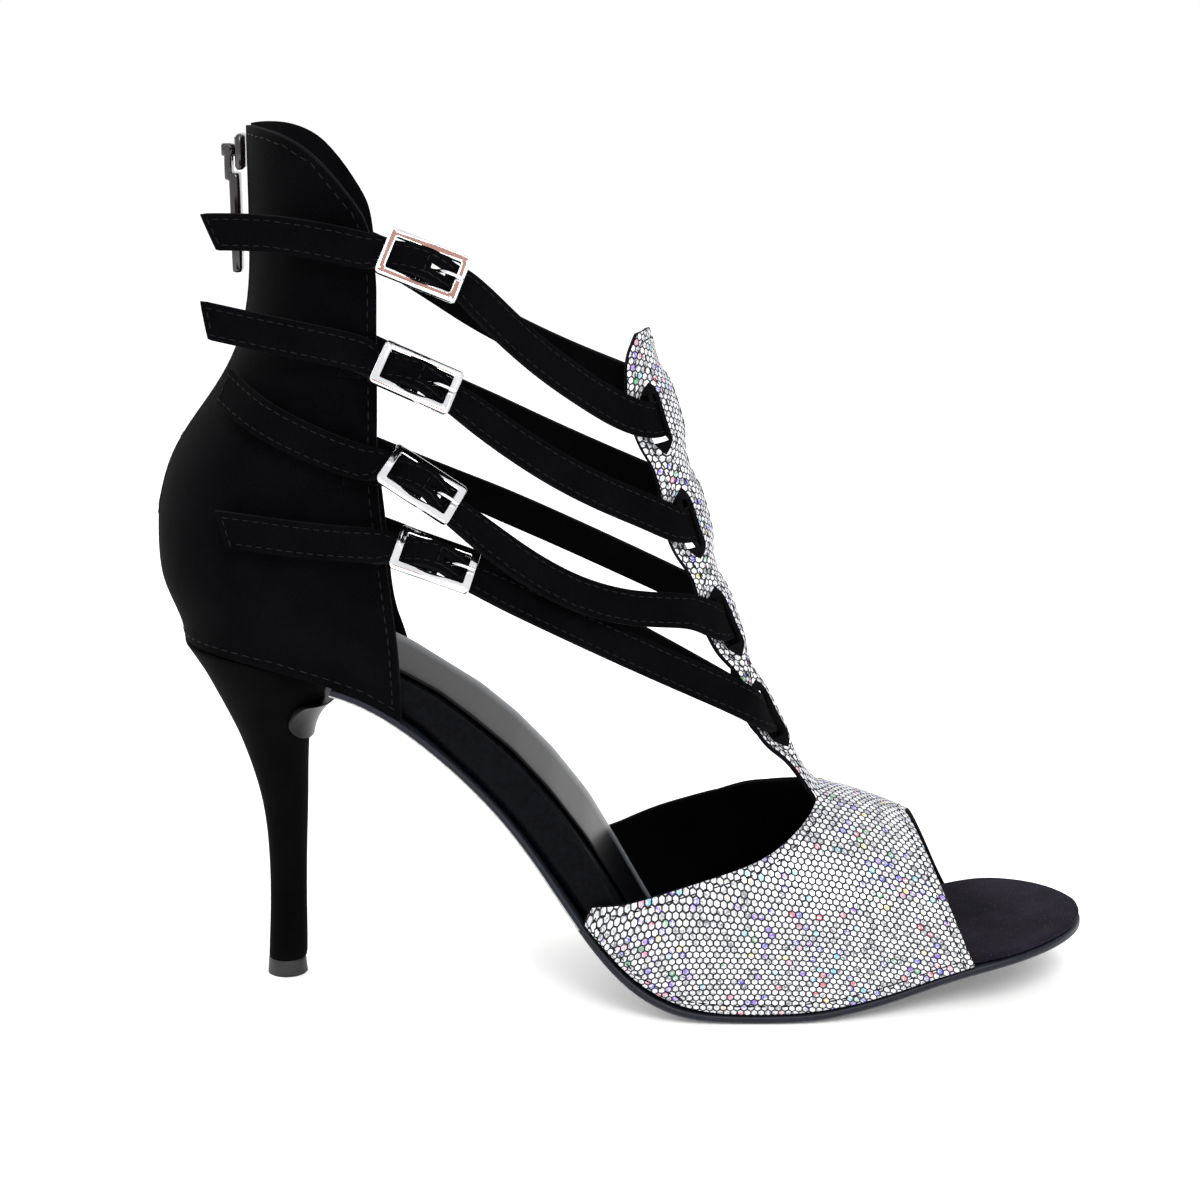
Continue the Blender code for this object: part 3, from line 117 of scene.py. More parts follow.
# %% Suede
def suede(name, dark, light, grain_mm=0.45, sheen=0.006, speckle=0.0, speckle_colour="#2b2436"):
    """Brushed suede with patches, a fine grain and, if wanted, light specks."""
    made, shader, tree = new_material(name)
    place = add(tree, "TexCoord").outputs["Object"]
    grain = add(tree, "TexNoise", {"Scale": 1 / (grain_mm * MM), "Detail": 3.0, "Roughness": 0.6},
                {"Vector": place})
    patches = add(tree, "TexNoise", {"Scale": 1 / (14 * MM), "Detail": 3.0, "Roughness": 0.55},
                  {"Vector": place})
    broad = add(tree, "Math", {"operation": "MULTIPLY", 1: 0.55}, {0: patches.outputs["Fac"]}).outputs[0]
    both = add(tree, "Math", {"operation": "MULTIPLY_ADD", 1: 0.45},
               {0: grain.outputs["Fac"], 2: broad}).outputs[0]
    ramp = add(tree, "ValToRGB", links={"Fac": both})
    ramp.color_ramp.elements[0].position = 0.36
    ramp.color_ramp.elements[0].color = linear(dark)
    ramp.color_ramp.elements[1].position = 0.66
    ramp.color_ramp.elements[1].color = linear(light)
    colour = ramp.outputs["Color"]
    if speckle:
        dots = add(tree, "TexVoronoi", {"Scale": 1 / (0.9 * MM), "Randomness": 1.0}, {"Vector": place})
        chance = add(tree, "SeparateColor", links={"Color": dots.outputs["Color"]}).outputs["Red"]
        near = add(tree, "Math", {"operation": "LESS_THAN", 1: 0.28},
                   {0: dots.outputs["Distance"]}).outputs[0]
        lucky = add(tree, "Math", {"operation": "LESS_THAN", 1: speckle}, {0: chance}).outputs[0]
        shown = add(tree, "Math", {"operation": "MULTIPLY"}, {0: near, 1: lucky}).outputs[0]
        mix = add(tree, "Mix", {"data_type": "RGBA", 7: linear(speckle_colour)}, {"Factor": shown, 6: colour})
        colour = mix.outputs[2]
    tree.links.new(colour, shader.inputs["Base Color"])
    shader.inputs["Roughness"].default_value = 0.95
    # The nap swallows nearly all mirrored light.
    shader.inputs["Specular IOR Level"].default_value = 0.04
    shader.inputs["Sheen Weight"].default_value = sheen
    shader.inputs["Sheen Roughness"].default_value = 0.45
    bump = add(tree, "Bump", {"Strength": 0.55, "Distance": 0.12 * MM}, {"Height": grain.outputs["Fac"]})
    tree.links.new(bump.outputs["Normal"], shader.inputs["Normal"])
    return made


black_suede = suede("black brushed suede", "#010102", "#060608")
heel_suede = suede("black suede stretched over the heel", "#010101", "#050506", grain_mm=0.4)
# The insole's toe suede is the same black suede, drawn lighter and purplish: a painted sheen of its nap.
toe_suede_painted_sheen = suede("black suede of the insole cover, painted sheen", "#0b0a0e", "#211d29", sheen=0.03, speckle=0.22)
strap_edge = suede("cut edge of the straps", "#040405", "#121215", grain_mm=0.3)
lining = suede("black textile lining", "#020203", "#070709", grain_mm=0.35)
print("suedes ready")


# %% [markdown]
# The vamp is silver glitter fabric under a black net with hexagonal meshes, 1.66 mm apart.
# A hexagonal mesh is found as the nearer of two shifted rectangular grids, so the net needs
# no image. It reads a UV map in metres, which is laid along the fabric further down.

# %% Meshes of the net
MESH_PITCH = 1.66 * MM
THREAD_SHARE = 0.22
THREAD_BLUR = 0.04
ROW_STEP = math.sqrt(3)


def net_cells(tree, place):
    """Place inside the nearest mesh, and the middle of that mesh, both in pitches."""
    unit = add(tree, "VectorMath", {"operation": "SCALE", "Scale": 1 / MESH_PITCH}, {0: place}).outputs[0]
    cell = (1.0, ROW_STEP, 1.0)
    half = (0.5, ROW_STEP / 2, 0.5)
    grids = []
    for shift in ((0, 0, 0), half):
        moved = add(tree, "VectorMath", {"operation": "ADD", 1: shift}, {0: unit}).outputs[0]
        wrapped = add(tree, "VectorMath", {"operation": "WRAP", 1: cell, 2: (0, 0, 0)}, {0: moved}).outputs[0]
        centred = add(tree, "VectorMath", {"operation": "SUBTRACT", 1: half}, {0: wrapped}).outputs[0]
        flat = add(tree, "VectorMath", {"operation": "MULTIPLY", 1: (1, 1, 0)}, {0: centred}).outputs[0]
        length = add(tree, "VectorMath", {"operation": "LENGTH"}, {0: flat}).outputs["Value"]
        grids.append((flat, length))
    nearer = add(tree, "Math", {"operation": "LESS_THAN"}, {0: grids[1][1], 1: grids[0][1]}).outputs[0]
    local = add(tree, "Mix", {"data_type": "VECTOR"},
                {"Factor": nearer, 4: grids[0][0], 5: grids[1][0]}).outputs[1]
    middle = add(tree, "VectorMath", {"operation": "SUBTRACT"}, {0: unit, 1: local}).outputs[0]
    return local, middle


def net_thread(tree, place, local):
    """1 on the net's thread and 0 in its meshes; the thread wavers a little."""
    spread = add(tree, "VectorMath", {"operation": "ABSOLUTE"}, {0: local}).outputs[0]
    slant = add(tree, "VectorMath", {"operation": "DOT_PRODUCT", 1: (0.5, ROW_STEP / 2, 0)}, {0: spread})
    across = add(tree, "SeparateXYZ", links={0: spread}).outputs["X"]
    reach = add(tree, "Math", {"operation": "MAXIMUM"}, {0: across, 1: slant.outputs["Value"]}).outputs[0]
    waver = add(tree, "TexNoise", {"Scale": 1 / (1.1 * MM), "Detail": 1.0}, {"Vector": place}).outputs["Fac"]
    centred = add(tree, "Math", {"operation": "SUBTRACT", 1: 0.5}, {0: waver}).outputs[0]
    shift = add(tree, "Math", {"operation": "MULTIPLY", 1: 0.10}, {0: centred}).outputs[0]
    edge = add(tree, "Math", {"operation": "ADD"}, {0: reach, 1: shift}).outputs[0]
    low = 0.5 - THREAD_SHARE / 2 - THREAD_BLUR
    settings = {"interpolation_type": "SMOOTHSTEP", "From Min": low, "From Max": low + 2 * THREAD_BLUR}
    return add(tree, "MapRange", settings, {"Value": edge}).outputs[0]


print("one mesh in mm:", round(MESH_PITCH / MM, 2), "its thread:", round(MESH_PITCH * THREAD_SHARE / MM, 2))


# %% [markdown]
# The glitter is a film of tiny mirrors that split light, so single meshes turn blue, violet,
# green or red. Each mesh draws three random numbers from its middle: how bright it is, which
# hue it would have, and whether it shows it. Coloured meshes come in clouds, most of them
# low on the foot's side. Inside a mesh, flakes of a third of a millimetre differ as well.

# %% Colours of the glitter
FLAKE = 0.33 * MM
CLOUD = 17 * MM
CLOUD_TOP = 52 * MM
CLOUD_FOOT = 22 * MM
GLITTER_HUES = (
    (0.0, "#4a3fe0"), (0.24, "#8a52e8"), (0.42, "#3fb6d8"), (0.56, "#35a860"),
    (0.68, "#d8435f"), (0.84, "#e88ab0"), (0.92, "#e8d24a"),
)


def mesh_draw(tree, middle):
    """Three random numbers that are the same over one whole mesh."""
    nudged = add(tree, "VectorMath", {"operation": "ADD", 1: (0.05, 0.05, 0)}, {0: middle}).outputs[0]
    raster = (0.5, ROW_STEP / 4, 1)
    snapped = add(tree, "VectorMath", {"operation": "SNAP", 1: raster}, {0: nudged}).outputs[0]
    chance = add(tree, "TexWhiteNoise", {"noise_dimensions": "3D"}, {"Vector": snapped})
    return add(tree, "SeparateColor", links={"Color": chance.outputs["Color"]})


def glitter_silver(tree, draw, flake):
    """Silver that is brighter on some meshes and flakes than on others."""
    by_flake = add(tree, "Math", {"operation": "MULTIPLY", 1: 0.55}, {0: flake.outputs["Green"]}).outputs[0]
    by_mesh = add(tree, "Math", {"operation": "MULTIPLY", 1: 0.45}, {0: draw.outputs["Red"]}).outputs[0]
    shade = add(tree, "Math", {"operation": "ADD"}, {0: by_flake, 1: by_mesh}).outputs[0]
    silver = add(tree, "ValToRGB", links={"Fac": shade})
    silver.color_ramp.elements[0].position = 0.12
    silver.color_ramp.elements[0].color = linear("#7e8088")
    silver.color_ramp.elements[1].position = 0.62
    silver.color_ramp.elements[1].color = linear("#f4f5f9")
    return silver.outputs["Color"]


def glitter_hue(tree, draw):
    """One of the glitter's hues for each mesh."""
    hue = add(tree, "ValToRGB", links={"Fac": draw.outputs["Green"]})
    hue.color_ramp.interpolation = "CONSTANT"
    hue.color_ramp.elements[0].color = linear(GLITTER_HUES[0][1])
    hue.color_ramp.elements[1].position = GLITTER_HUES[1][0]
    hue.color_ramp.elements[1].color = linear(GLITTER_HUES[1][1])
    for at, web in GLITTER_HUES[2:]:
        hue.color_ramp.elements.new(at).color = linear(web)
    return hue.outputs["Color"]


def hue_strength(tree, place, draw, flake):
    """How much of its hue a spot shows: only in some meshes, and there only on some flakes."""
    clouds = add(tree, "TexNoise", {"Scale": 1 / CLOUD, "Detail": 2.0}, {"Vector": place}).outputs["Fac"]
    object_place = add(tree, "TexCoord").outputs["Object"]
    height = add(tree, "SeparateXYZ", links={0: object_place}).outputs["Z"]
    low_down = add(tree, "MapRange",
                   {"From Min": CLOUD_TOP, "From Max": CLOUD_FOOT, "To Min": 0.0, "To Max": 0.30},
                   {"Value": height}).outputs[0]
    gain = add(tree, "Math", {"operation": "MULTIPLY", 1: 0.25}, {0: low_down}).outputs[0]
    thick = add(tree, "Math", {"operation": "ADD"}, {0: clouds, 1: gain}).outputs[0]
    wanted = add(tree, "MapRange", {"From Min": 0.46, "From Max": 0.70, "To Min": 0.02, "To Max": 0.26},
                 {"Value": thick}).outputs[0]
    lucky = add(tree, "Math", {"operation": "LESS_THAN"}, {0: draw.outputs["Blue"], 1: wanted}).outputs[0]
    speck = add(tree, "MapRange", {"From Min": 0.35, "From Max": 0.65, "To Min": 0.05, "To Max": 0.85},
                {"Value": flake.outputs["Red"]}).outputs[0]
    return add(tree, "Math", {"operation": "MULTIPLY"}, {0: lucky, 1: speck}).outputs[0]


print(len(GLITTER_HUES), "hues for the glitter")


# %% [markdown]
# Now the fabric itself: silver, tinted where a mesh shows its hue, and covered by the dull
# black thread. The film is partly metallic, each flake has a gloss and a tilt of its own,
# and the thread stands up from the film as a ridge.

# %% Glitter under net
def glitter_net(name):
    """Silver holographic glitter under a black hexagonal net."""
    made, shader, tree = new_material(name)
    place = add(tree, "UVMap", {"uv_map": "fabric"}).outputs["UV"]
    local, middle = net_cells(tree, place)
    thread = net_thread(tree, place, local)
    draw = mesh_draw(tree, middle)
    flakes = add(tree, "TexVoronoi", {"Scale": 1 / FLAKE, "Randomness": 1.0}, {"Vector": place})
    flake = add(tree, "SeparateColor", links={"Color": flakes.outputs["Color"]})
    tint = add(tree, "Mix", {"data_type": "RGBA"}, {
        "Factor": hue_strength(tree, place, draw, flake),
        6: glitter_silver(tree, draw, flake),
        7: glitter_hue(tree, draw),
    }).outputs[2]
    whole = add(tree, "Mix", {"data_type": "RGBA", 7: linear("#060608")},
                {"Factor": thread, 6: tint}).outputs[2]
    tree.links.new(whole, shader.inputs["Base Color"])
    bare = add(tree, "Math", {"operation": "SUBTRACT", 0: 1.0}, {1: thread}).outputs[0]
    film = add(tree, "Math", {"operation": "MULTIPLY", 1: 0.35}, {0: bare}).outputs[0]
    tree.links.new(film, shader.inputs["Metallic"])
    dull = add(tree, "Math", {"operation": "MULTIPLY", 1: 0.5}, {0: thread}).outputs[0]
    gloss = add(tree, "Math", {"operation": "MULTIPLY_ADD", 1: 0.25, 2: 0.22},
                {0: flake.outputs["Blue"]}).outputs[0]
    rough = add(tree, "Math", {"operation": "ADD"}, {0: dull, 1: gloss}).outputs[0]
    tree.links.new(rough, shader.inputs["Roughness"])
    tilt = add(tree, "Bump", {"Strength": 0.5, "Distance": 0.10 * MM}, {"Height": flake.outputs["Green"]})
    ridge = add(tree, "Bump", {"Strength": 0.8, "Distance": 0.22 * MM},
                {"Height": thread, "Normal": tilt.outputs["Normal"]})
    tree.links.new(ridge.outputs["Normal"], shader.inputs["Normal"])
    return made


glitter = glitter_net("silver glitter fabric under black net")
print("glitter net ready")


# %% [markdown]
# The rest are smoother finishes. Chrome plate is a bright mirror. The sole's edge is painted
# and rubbed, the corner below it is light grey, and its bottom is sueded so that it
# slides on a dance floor. Thread is waxed black polyester. The waist and the heel flap are
# seen at a flat angle, where any polish turns white, so they get little shine.

# %% Plain finishes
def finish_of(name, colour, vary, roughness, grain_mm, bump_mm, metallic=0.0, coat=0.0, shine=0.5):
    """A surface with one main colour that drifts towards another, and a fine grain."""
    made, shader, tree = new_material(name)
    place = add(tree, "TexCoord").outputs["Object"]
    grain = add(tree, "TexNoise", {"Scale": 1 / (grain_mm * MM), "Detail": 4.0}, {"Vector": place})
    ramp = add(tree, "ValToRGB", links={"Fac": grain.outputs["Fac"]})
    ramp.color_ramp.elements[0].position = 0.3
    ramp.color_ramp.elements[0].color = linear(vary)
    ramp.color_ramp.elements[1].position = 0.6
    ramp.color_ramp.elements[1].color = linear(colour)
    tree.links.new(ramp.outputs["Color"], shader.inputs["Base Color"])
    shader.inputs["Metallic"].default_value = metallic
    shader.inputs["Specular IOR Level"].default_value = shine
    shader.inputs["Coat Weight"].default_value = coat
    shader.inputs["Coat Roughness"].default_value = 0.08
    uneven = add(tree, "MapRange", {"To Min": roughness * 0.8, "To Max": min(1.0, roughness * 1.25)},
                 {"Value": grain.outputs["Fac"]})
    tree.links.new(uneven.outputs[0], shader.inputs["Roughness"])
    bump = add(tree, "Bump", {"Strength": 0.4, "Distance": bump_mm * MM}, {"Height": grain.outputs["Fac"]})
    tree.links.new(bump.outputs["Normal"], shader.inputs["Normal"])
    return made


# Plated and polished: the drift only breaks up the mirror a little.
chrome = finish_of("bright chrome plate", "#e9e9ec", "#dcdce0", 0.07, 6, 0.004, metallic=1.0)
# Waxed: the light stays on single fibres.
thread = finish_of("waxed black thread", "#17171a", "#0c0c0d", 0.6, 0.3, 0.05, shine=0.08)
# Moulded rubber, ground flat underneath.
rubber = finish_of("black rubber top piece", "#141415", "#0b0b0c", 0.55, 0.6, 0.03)
# Painted with ink and rubbed with wax, so it has a dark blue gleam.
sole_edge = finish_of("painted and rubbed sole edge", "#1b1d27", "#101118", 0.42, 0.8, 0.04, shine=0.2)
# Brushed up with a wire brush.
sole_bottom = suede("sueded sole leather", "#3a3a3c", "#55555a", grain_mm=0.6, sheen=0.1)
# Light grey with a fine grain, on the sole's lower corner along the waist.
grey_sole_corner = finish_of("light grey lower corner of the sole", "#b9b9b6", "#8d8e90", 0.6, 0.8, 0.03)
# Stretched over the board while wet.
waist_leather = finish_of("black wrapped waist leather", "#06070b", "#010102", 0.45, 1.2, 0.02, shine=0.05)
# The sole's own leather, glued down the heel breast and smoothed.
flap_leather = finish_of("smooth dark sole leather", "#1d1d1f", "#0b0b0d", 0.30, 2.5, 0.02, shine=0.1)
# Stove enamel on die-cast zinc.
enamel = finish_of("dark glossy enamel", "#1b1416", "#120d0f", 0.16, 3, 0.004, coat=0.6)
# Nylon wire, moulded into a coil.
coil = finish_of("black moulded zip coil", "#1d1d20", "#101012", 0.32, 0.6, 0.01)
# Polyester tape, too finely woven to show its threads.
tape = finish_of("woven black zip tape", "#131315", "#08080a", 0.85, 0.35, 0.08)
print("finishes ready")


# %% [markdown]
# A CAD solid is faceted, and its triangles are loose. To dress it, a copy is welded, its
# triangles are joined to quads again, and a Subdivision Surface rounds it. Creases keep the
# cut edges crisp. The piece then stands for the CAD node.

# %% Smooth copies of the CAD solids
def welded(node):
    """A bmesh of a CAD node, welded and with its quads restored."""
    bm = bmesh.new()
    bm.from_mesh(nodes[node].data)
    bm.transform(nodes[node].matrix_world)
    bmesh.ops.remove_doubles(bm, verts=bm.verts, dist=0.004 * MM)
    bmesh.ops.join_triangles(
        bm,
        faces=bm.faces,
        angle_face_threshold=math.radians(38),
        angle_shape_threshold=math.radians(70),
    )
    bmesh.ops.recalc_face_normals(bm, faces=bm.faces)
    return bm


def crease(bm, angle, amount):
    """Crease the edges that turn by more than an angle."""
    layer = bm.edges.layers.float.get("crease_edge") or bm.edges.layers.float.new("crease_edge")
    for edge in bm.edges:
        if len(edge.link_faces) == 2 and edge.calc_face_angle() > math.radians(angle):
            edge[layer] = amount


def finished(name, bm, materials, body="shoe", levels=0, replaces=()):
    """Turn a bmesh into a shown piece that rides on a body."""
    mesh = bpy.data.meshes.new(name)
    for face in bm.faces:
        face.smooth = True
    bm.to_mesh(mesh)
    bm.free()
    for material in materials:
        mesh.materials.append(material)
    piece = bpy.data.objects.new(name, mesh)
    bpy.context.scene.collection.objects.link(piece)
    if levels:
        soft = piece.modifiers.new("smooth", "SUBSURF")
        soft.levels = levels
        soft.render_levels = levels
    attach(piece, body)
    if replaces:
        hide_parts(*replaces)
    print(name, len(mesh.polygons), "faces")
    return piece


def regions(bm, angle):
    """Flood the faces into regions bounded by edges that turn by more than an angle."""
    limit = math.radians(angle)
    seen = {}
    sizes = []
    for start in bm.faces:
        if start in seen:
            continue
        number = len(sizes)
        seen[start] = number
        area = 0.0
        queue = [start]
        while queue:
            face = queue.pop()
            area += face.calc_area()
            for edge in face.edges:
                if len(edge.link_faces) != 2 or edge.calc_face_angle() > limit:
                    continue
                for other in edge.link_faces:
                    if other not in seen:
                        seen[other] = number
                        queue.append(other)
        sizes.append(area)
    return seen, sizes


print("copy helpers ready")


# %% [markdown]
# The maker sews most edges about two millimetres inside. A row of stitches follows an edge
# of a skin: the edge is walked, moved inwards, cut into equal steps, and set down on the
# smooth surface. Each stitch is one small capsule of thread, and a row is one mesh.

# %% Stitch helpers
STITCH_LENGTH = 2.1 * MM
STITCH_PITCH = 2.9 * MM
THREAD_RADIUS = 0.20 * MM
STITCH_REACH = 1.6 * MM


def boundary_loops(faces):
    """Closed loops of vertices round a set of faces, with the way into the set at each."""
    inside = set(faces)
    after = {}
    for face in faces:
        for loop in face.loops:
            others = [f for f in loop.edge.link_faces if f is not face]
            if not others or others[0] not in inside:
                after[loop.vert] = (loop.link_loop_next.vert, face.normal.copy())
    loops = []
    while after:
        start = next(iter(after))
        chain = []
        vert = start
        while vert in after:
            following, normal = after.pop(vert)
            chain.append((vert.co.copy(), normal))
            vert = following
        if len(chain) > 5:
            loops.append(chain)
    return loops


def inset_path(chain, distance):
    """The loop moved into the surface, with the surface's normals."""
    count = len(chain)
    path = []
    for i, (point, normal) in enumerate(chain):
        before = point - chain[i - 1][0]
        ahead = chain[(i + 1) % count][0] - point
        tangent = before.normalized() + ahead.normalized()
        around = (normal + chain[i - 1][1]).normalized()
        inwards = around.cross(tangent).normalized()
        half_turn = before.angle(ahead, 0.0) / 2
        path.append((point + inwards * distance / max(0.5, math.cos(half_turn)), around))
    return path


def even_steps(points, pitch, closed=True):
    """Places at equal steps along a path of points, with the direction there."""
    ends = list(points)
    if closed:
        ends.append(points[0])
    steps = []
    left = pitch / 2
    for a, b in zip(ends, ends[1:]):
        length = (b - a).length
        while left <= length and length > 0:
            steps.append((a.lerp(b, left / length), (b - a).normalized()))
            left += pitch
        left -= length
    return steps


def capsule(radius, length):
    """A small closed capsule along X, flattened a little."""
    bm = bmesh.new()
    bmesh.ops.create_uvsphere(bm, u_segments=6, v_segments=4, radius=1)
    bmesh.ops.rotate(bm, verts=bm.verts, matrix=Matrix.Rotation(math.pi / 2, 3, "Y"))
    bmesh.ops.scale(bm, verts=bm.verts, vec=(length / 2, radius, radius * 0.8))
    mesh = bpy.data.meshes.new("capsule")
    bm.to_mesh(mesh)
    bm.free()
    return mesh


def placed(bm, mesh, spot, forward, normal):
    """Add a copy of a small mesh at a spot, along a direction and on a surface."""
    side = normal.cross(forward).normalized()
    up = forward.cross(side).normalized()
    turn = Matrix((forward, side, up)).transposed().to_4x4()
    first = len(bm.verts)
    bm.from_mesh(mesh)
    bm.verts.ensure_lookup_table()
    fresh = bm.verts[first:]
    bmesh.ops.transform(bm, matrix=Matrix.Translation(spot) @ turn, verts=fresh)


def surface_of(piece):
    """A lookup of the finished surface of a piece, modifiers included."""
    graph = bpy.context.evaluated_depsgraph_get()
    bpy.context.view_layer.update()
    return BVHTree.FromObject(piece, graph)


def stitch_rows(name, piece, paths, pitch=STITCH_PITCH, length=STITCH_LENGTH, radius=THREAD_RADIUS):
    """Rows of stitches along paths on a piece, as one mesh."""
    surface = surface_of(piece)
    small = capsule(radius, length)
    bm = bmesh.new()
    count = 0
    for path in paths:
        for spot, forward in even_steps(path, pitch):
            near, normal, index, far = surface.find_nearest(spot)
            if near is None or far > STITCH_REACH:
                continue
            along = (forward - normal * forward.dot(normal)).normalized()
            placed(bm, small, near + normal * radius * 0.25, along, normal)
            count += 1
    print(name, count, "stitches")
    return finished(name, bm, [thread])


print("stitch helpers ready")


# %% [markdown]
# The vamp and its T-bar are one wall: glitter outside, black lining inside, and a thin
# black cut edge between. Flooding the welded copy up to its sharp edges finds the three.
# The fabric's UV map runs round the foot and along the ridge, so the net's meshes keep
# their size from the toe to the tip of the T-bar.

# %% Vamp and T-bar
THROAT = Vector((126, 0, 57)) * MM
BAR_WAY = Vector((-0.392, 0, 0.920))
FOOT_AXIS_HEIGHT = 14 * MM
BAR_STEP = 6 * MM
BAR_START = -6 * MM
BAR_BLEND = 14 * MM
BAR_LOWEST = 46 * MM
INSTEP_START = 52 * MM
VAMP_SEAM = 2.3 * MM


def ridge_of(bm):
    """Middle of the T-bar's front: for each level, its foremost place and its mean side."""
    levels = {}
    for vert in bm.verts:
        if vert.co.z > THROAT.z - BAR_STEP:
            levels.setdefault(round(vert.co.z / BAR_STEP), []).append(vert.co)
    return sorted((level * BAR_STEP, max(co.x for co in places), sum(co.y for co in places) / len(places))
                  for level, places in levels.items())


def ridge_at(ridge, z):
    """The ridge's foremost place and its mean side at a height."""
    for low, high in zip(ridge, ridge[1:]):
        if z <= high[0]:
            part = max(0.0, (z - low[0]) / (high[0] - low[0]))
            return low[1] + (high[1] - low[1]) * part, low[2] + (high[2] - low[2]) * part
    return ridge[-1][1:]


def fabric_place(point, ridge):
    """Place on the flat fabric, in metres: along the foot and round it."""
    up = point.z - FOOT_AXIS_HEIGHT
    radius = math.hypot(point.y, max(up, 0.0))
    around = math.atan2(abs(point.y), max(up, 0.0)) * radius + max(-up, 0.0)
    around = math.copysign(around, point.y)
    climbed = (point - THROAT).dot(BAR_WAY)
    share = min(1.0, max(0.0, (climbed - BAR_START) / BAR_BLEND))
    share = share * share * (3 - 2 * share)
    if point.z < BAR_LOWEST:
        share = 0.0
    front, middle = ridge_at(ridge, point.z)
    chord = math.copysign(math.hypot(point.y - middle, 0.9 * max(0.0, front - point.x)), point.y - middle)
    across = around + (chord - around) * share
    along = point.x + (THROAT.x - climbed - point.x) * share
    return along, across


def three_sides(bm, angle, outward):
    """Mark faces 0 outside, 1 inside and 2 on the cut edge of a wall."""
    seen, sizes = regions(bm, angle)
    ranked = sorted(range(len(sizes)), key=lambda n: -sizes[n])
    first, second = ranked[0], ranked[1]
    faces = [f for f in bm.faces if seen[f] == first]
    score = sum(f.normal.dot(outward(f.calc_center_median())) * f.calc_area() for f in faces)
    if score < 0:
        first, second = second, first
    for face in bm.faces:
        face.material_index = {first: 0, second: 1}.get(seen[face], 2)
    return [f for f in bm.faces if seen[f] == first], [f for f in bm.faces if seen[f] == second]


def from_foot(point):
    """Outwards from the middle of the foot."""
    if point.z > INSTEP_START:
        return Vector((0.85, 0, 0.53))
    return Vector((0, point.y, point.z - FOOT_AXIS_HEIGHT + 4 * MM))


bm = welded("vamp")
outside, inside = three_sides(bm, 50, from_foot)
crease(bm, 50, 0.85)
fabric = bm.loops.layers.uv.new("fabric")
ridge = ridge_of(bm)
for face in bm.faces:
    for loop in face.loops:
        loop[fabric].uv = fabric_place(loop.vert.co, ridge)
vamp_paths = []
for chain in boundary_loops(outside):
    vamp_paths.append([point for point, normal in inset_path(chain, VAMP_SEAM)])
print("vamp outside", len(outside), "inside", len(inside), "loops", [len(p) for p in vamp_paths])
vamp = finished("vamp_skin", bm, [glitter, lining, strap_edge], levels=2, replaces=["vamp"])


# %% [markdown]
# The counter stands behind the heel. It is thick suede, turned over at its top edge and
# stitched close to it. The straps, the chapes and the insole are dressed in the same way:
# a welded copy, its sides found, and a little crease on the cut edges.

# %% Counter
HEEL_MIDDLE = 12 * MM


def from_heel(point):
    """Outwards from the middle of the heel cup."""
    return Vector((point.x - HEEL_MIDDLE, point.y, 0))


def wall_piece(name, node, outward, angle=50, soft=0.8, seam=2.0 * MM):
    """Dress a suede wall; gives the piece and the paths of its seams on the outer side."""
    bm = welded(node)
    outer_faces, inner_faces = three_sides(bm, angle, outward)
    crease(bm, angle, soft)
    paths = []
    for chain in boundary_loops(outer_faces):
        paths.append([point for point, normal in inset_path(chain, seam)])
    piece = finished(name, bm, [black_suede, lining, strap_edge], levels=2, replaces=[node])
    return piece, paths


counter, counter_paths = wall_piece("counter_skin", "counter", from_heel)
print("counter paths", [len(p) for p in counter_paths])


# %% [markdown]
# Each strap is suede folded round a tape and sewn along both edges. It comes from the inner
# side, goes through the T-bar and ends in a loose tail past its buckle. A chape is the short
# loop that holds the buckle. Both have their outer side away from the foot.

# %% Straps and chapes
STRAP_SEAM = 1.3 * MM


def from_leg(point):
    """Outwards on either side of the foot."""
    return Vector((0, -1, 0)) if point.y < 0 else Vector((0, 1, 0))


straps = []
strap_paths = []
for number in range(1, 5):
    node = "strap_%d" % number
    strap, paths = wall_piece(node + "_skin", node, from_leg, angle=55, soft=0.7, seam=STRAP_SEAM)
    straps.append(strap)
    strap_paths.append(paths)
    node = "chape_%d" % number
    wall_piece(node + "_skin", node, lambda point: Vector((0, -1, 0)), angle=60)
print(len(straps), "straps and their chapes")


# %% [markdown]
# The plain bodies come next. The insole board is wrapped in smooth leather at the waist and
# in suede at the toe; the change hides under the vamp. The outsole shows three surfaces: its
# painted edge, its sueded tread, and the light grey lower corner along the arch.
# The heel block is covered in suede, and its top piece is bare rubber.

# %% Insole, outsole and heel
VAMP_MIDDLE = 135 * MM
GREY_CORNER_FROM = 22 * MM
TREAD_TOP = 60 * MM


def solid_piece(name, node, materials, angle=50, levels=2, soft=0.8, chooser=None):
    """Dress a CAD node that is a plain body; chooser picks each face's material."""
    bm = welded(node)
    crease(bm, angle, soft)
    if chooser:
        for face in bm.faces:
            face.material_index = chooser(face.calc_center_median(), face.normal)
    return finished(name, bm, materials, levels=levels, replaces=[node])


def insole_part(spot, normal):
    """0 for the wrapped waist, 1 for the suede toe."""
    return 1 if spot.x > VAMP_MIDDLE else 0


def sole_part(spot, normal):
    """0 for the painted edge, 1 for the tread, 2 for the light grey lower corner of the waist."""
    if spot.z > GREY_CORNER_FROM and normal.z < -0.1 and 0.3 < abs(normal.y) < 0.85:
        return 2
    return 1 if normal.z < -0.5 and spot.z < TREAD_TOP else 0


solid_piece("insole_cover", "insole", [waist_leather, toe_suede_painted_sheen], chooser=insole_part, soft=0.5)
solid_piece("outsole_skin", "outsole", [sole_edge, sole_bottom, grey_sole_corner], angle=25,
            chooser=sole_part, soft=0.9)
solid_piece("heel_cover", "heel", [heel_suede], soft=0.6)
solid_piece("breast_flap_skin", "breast_flap", [flap_leather], soft=0.9)
solid_piece("top_piece_skin", "top_piece", [rubber], soft=0.9)
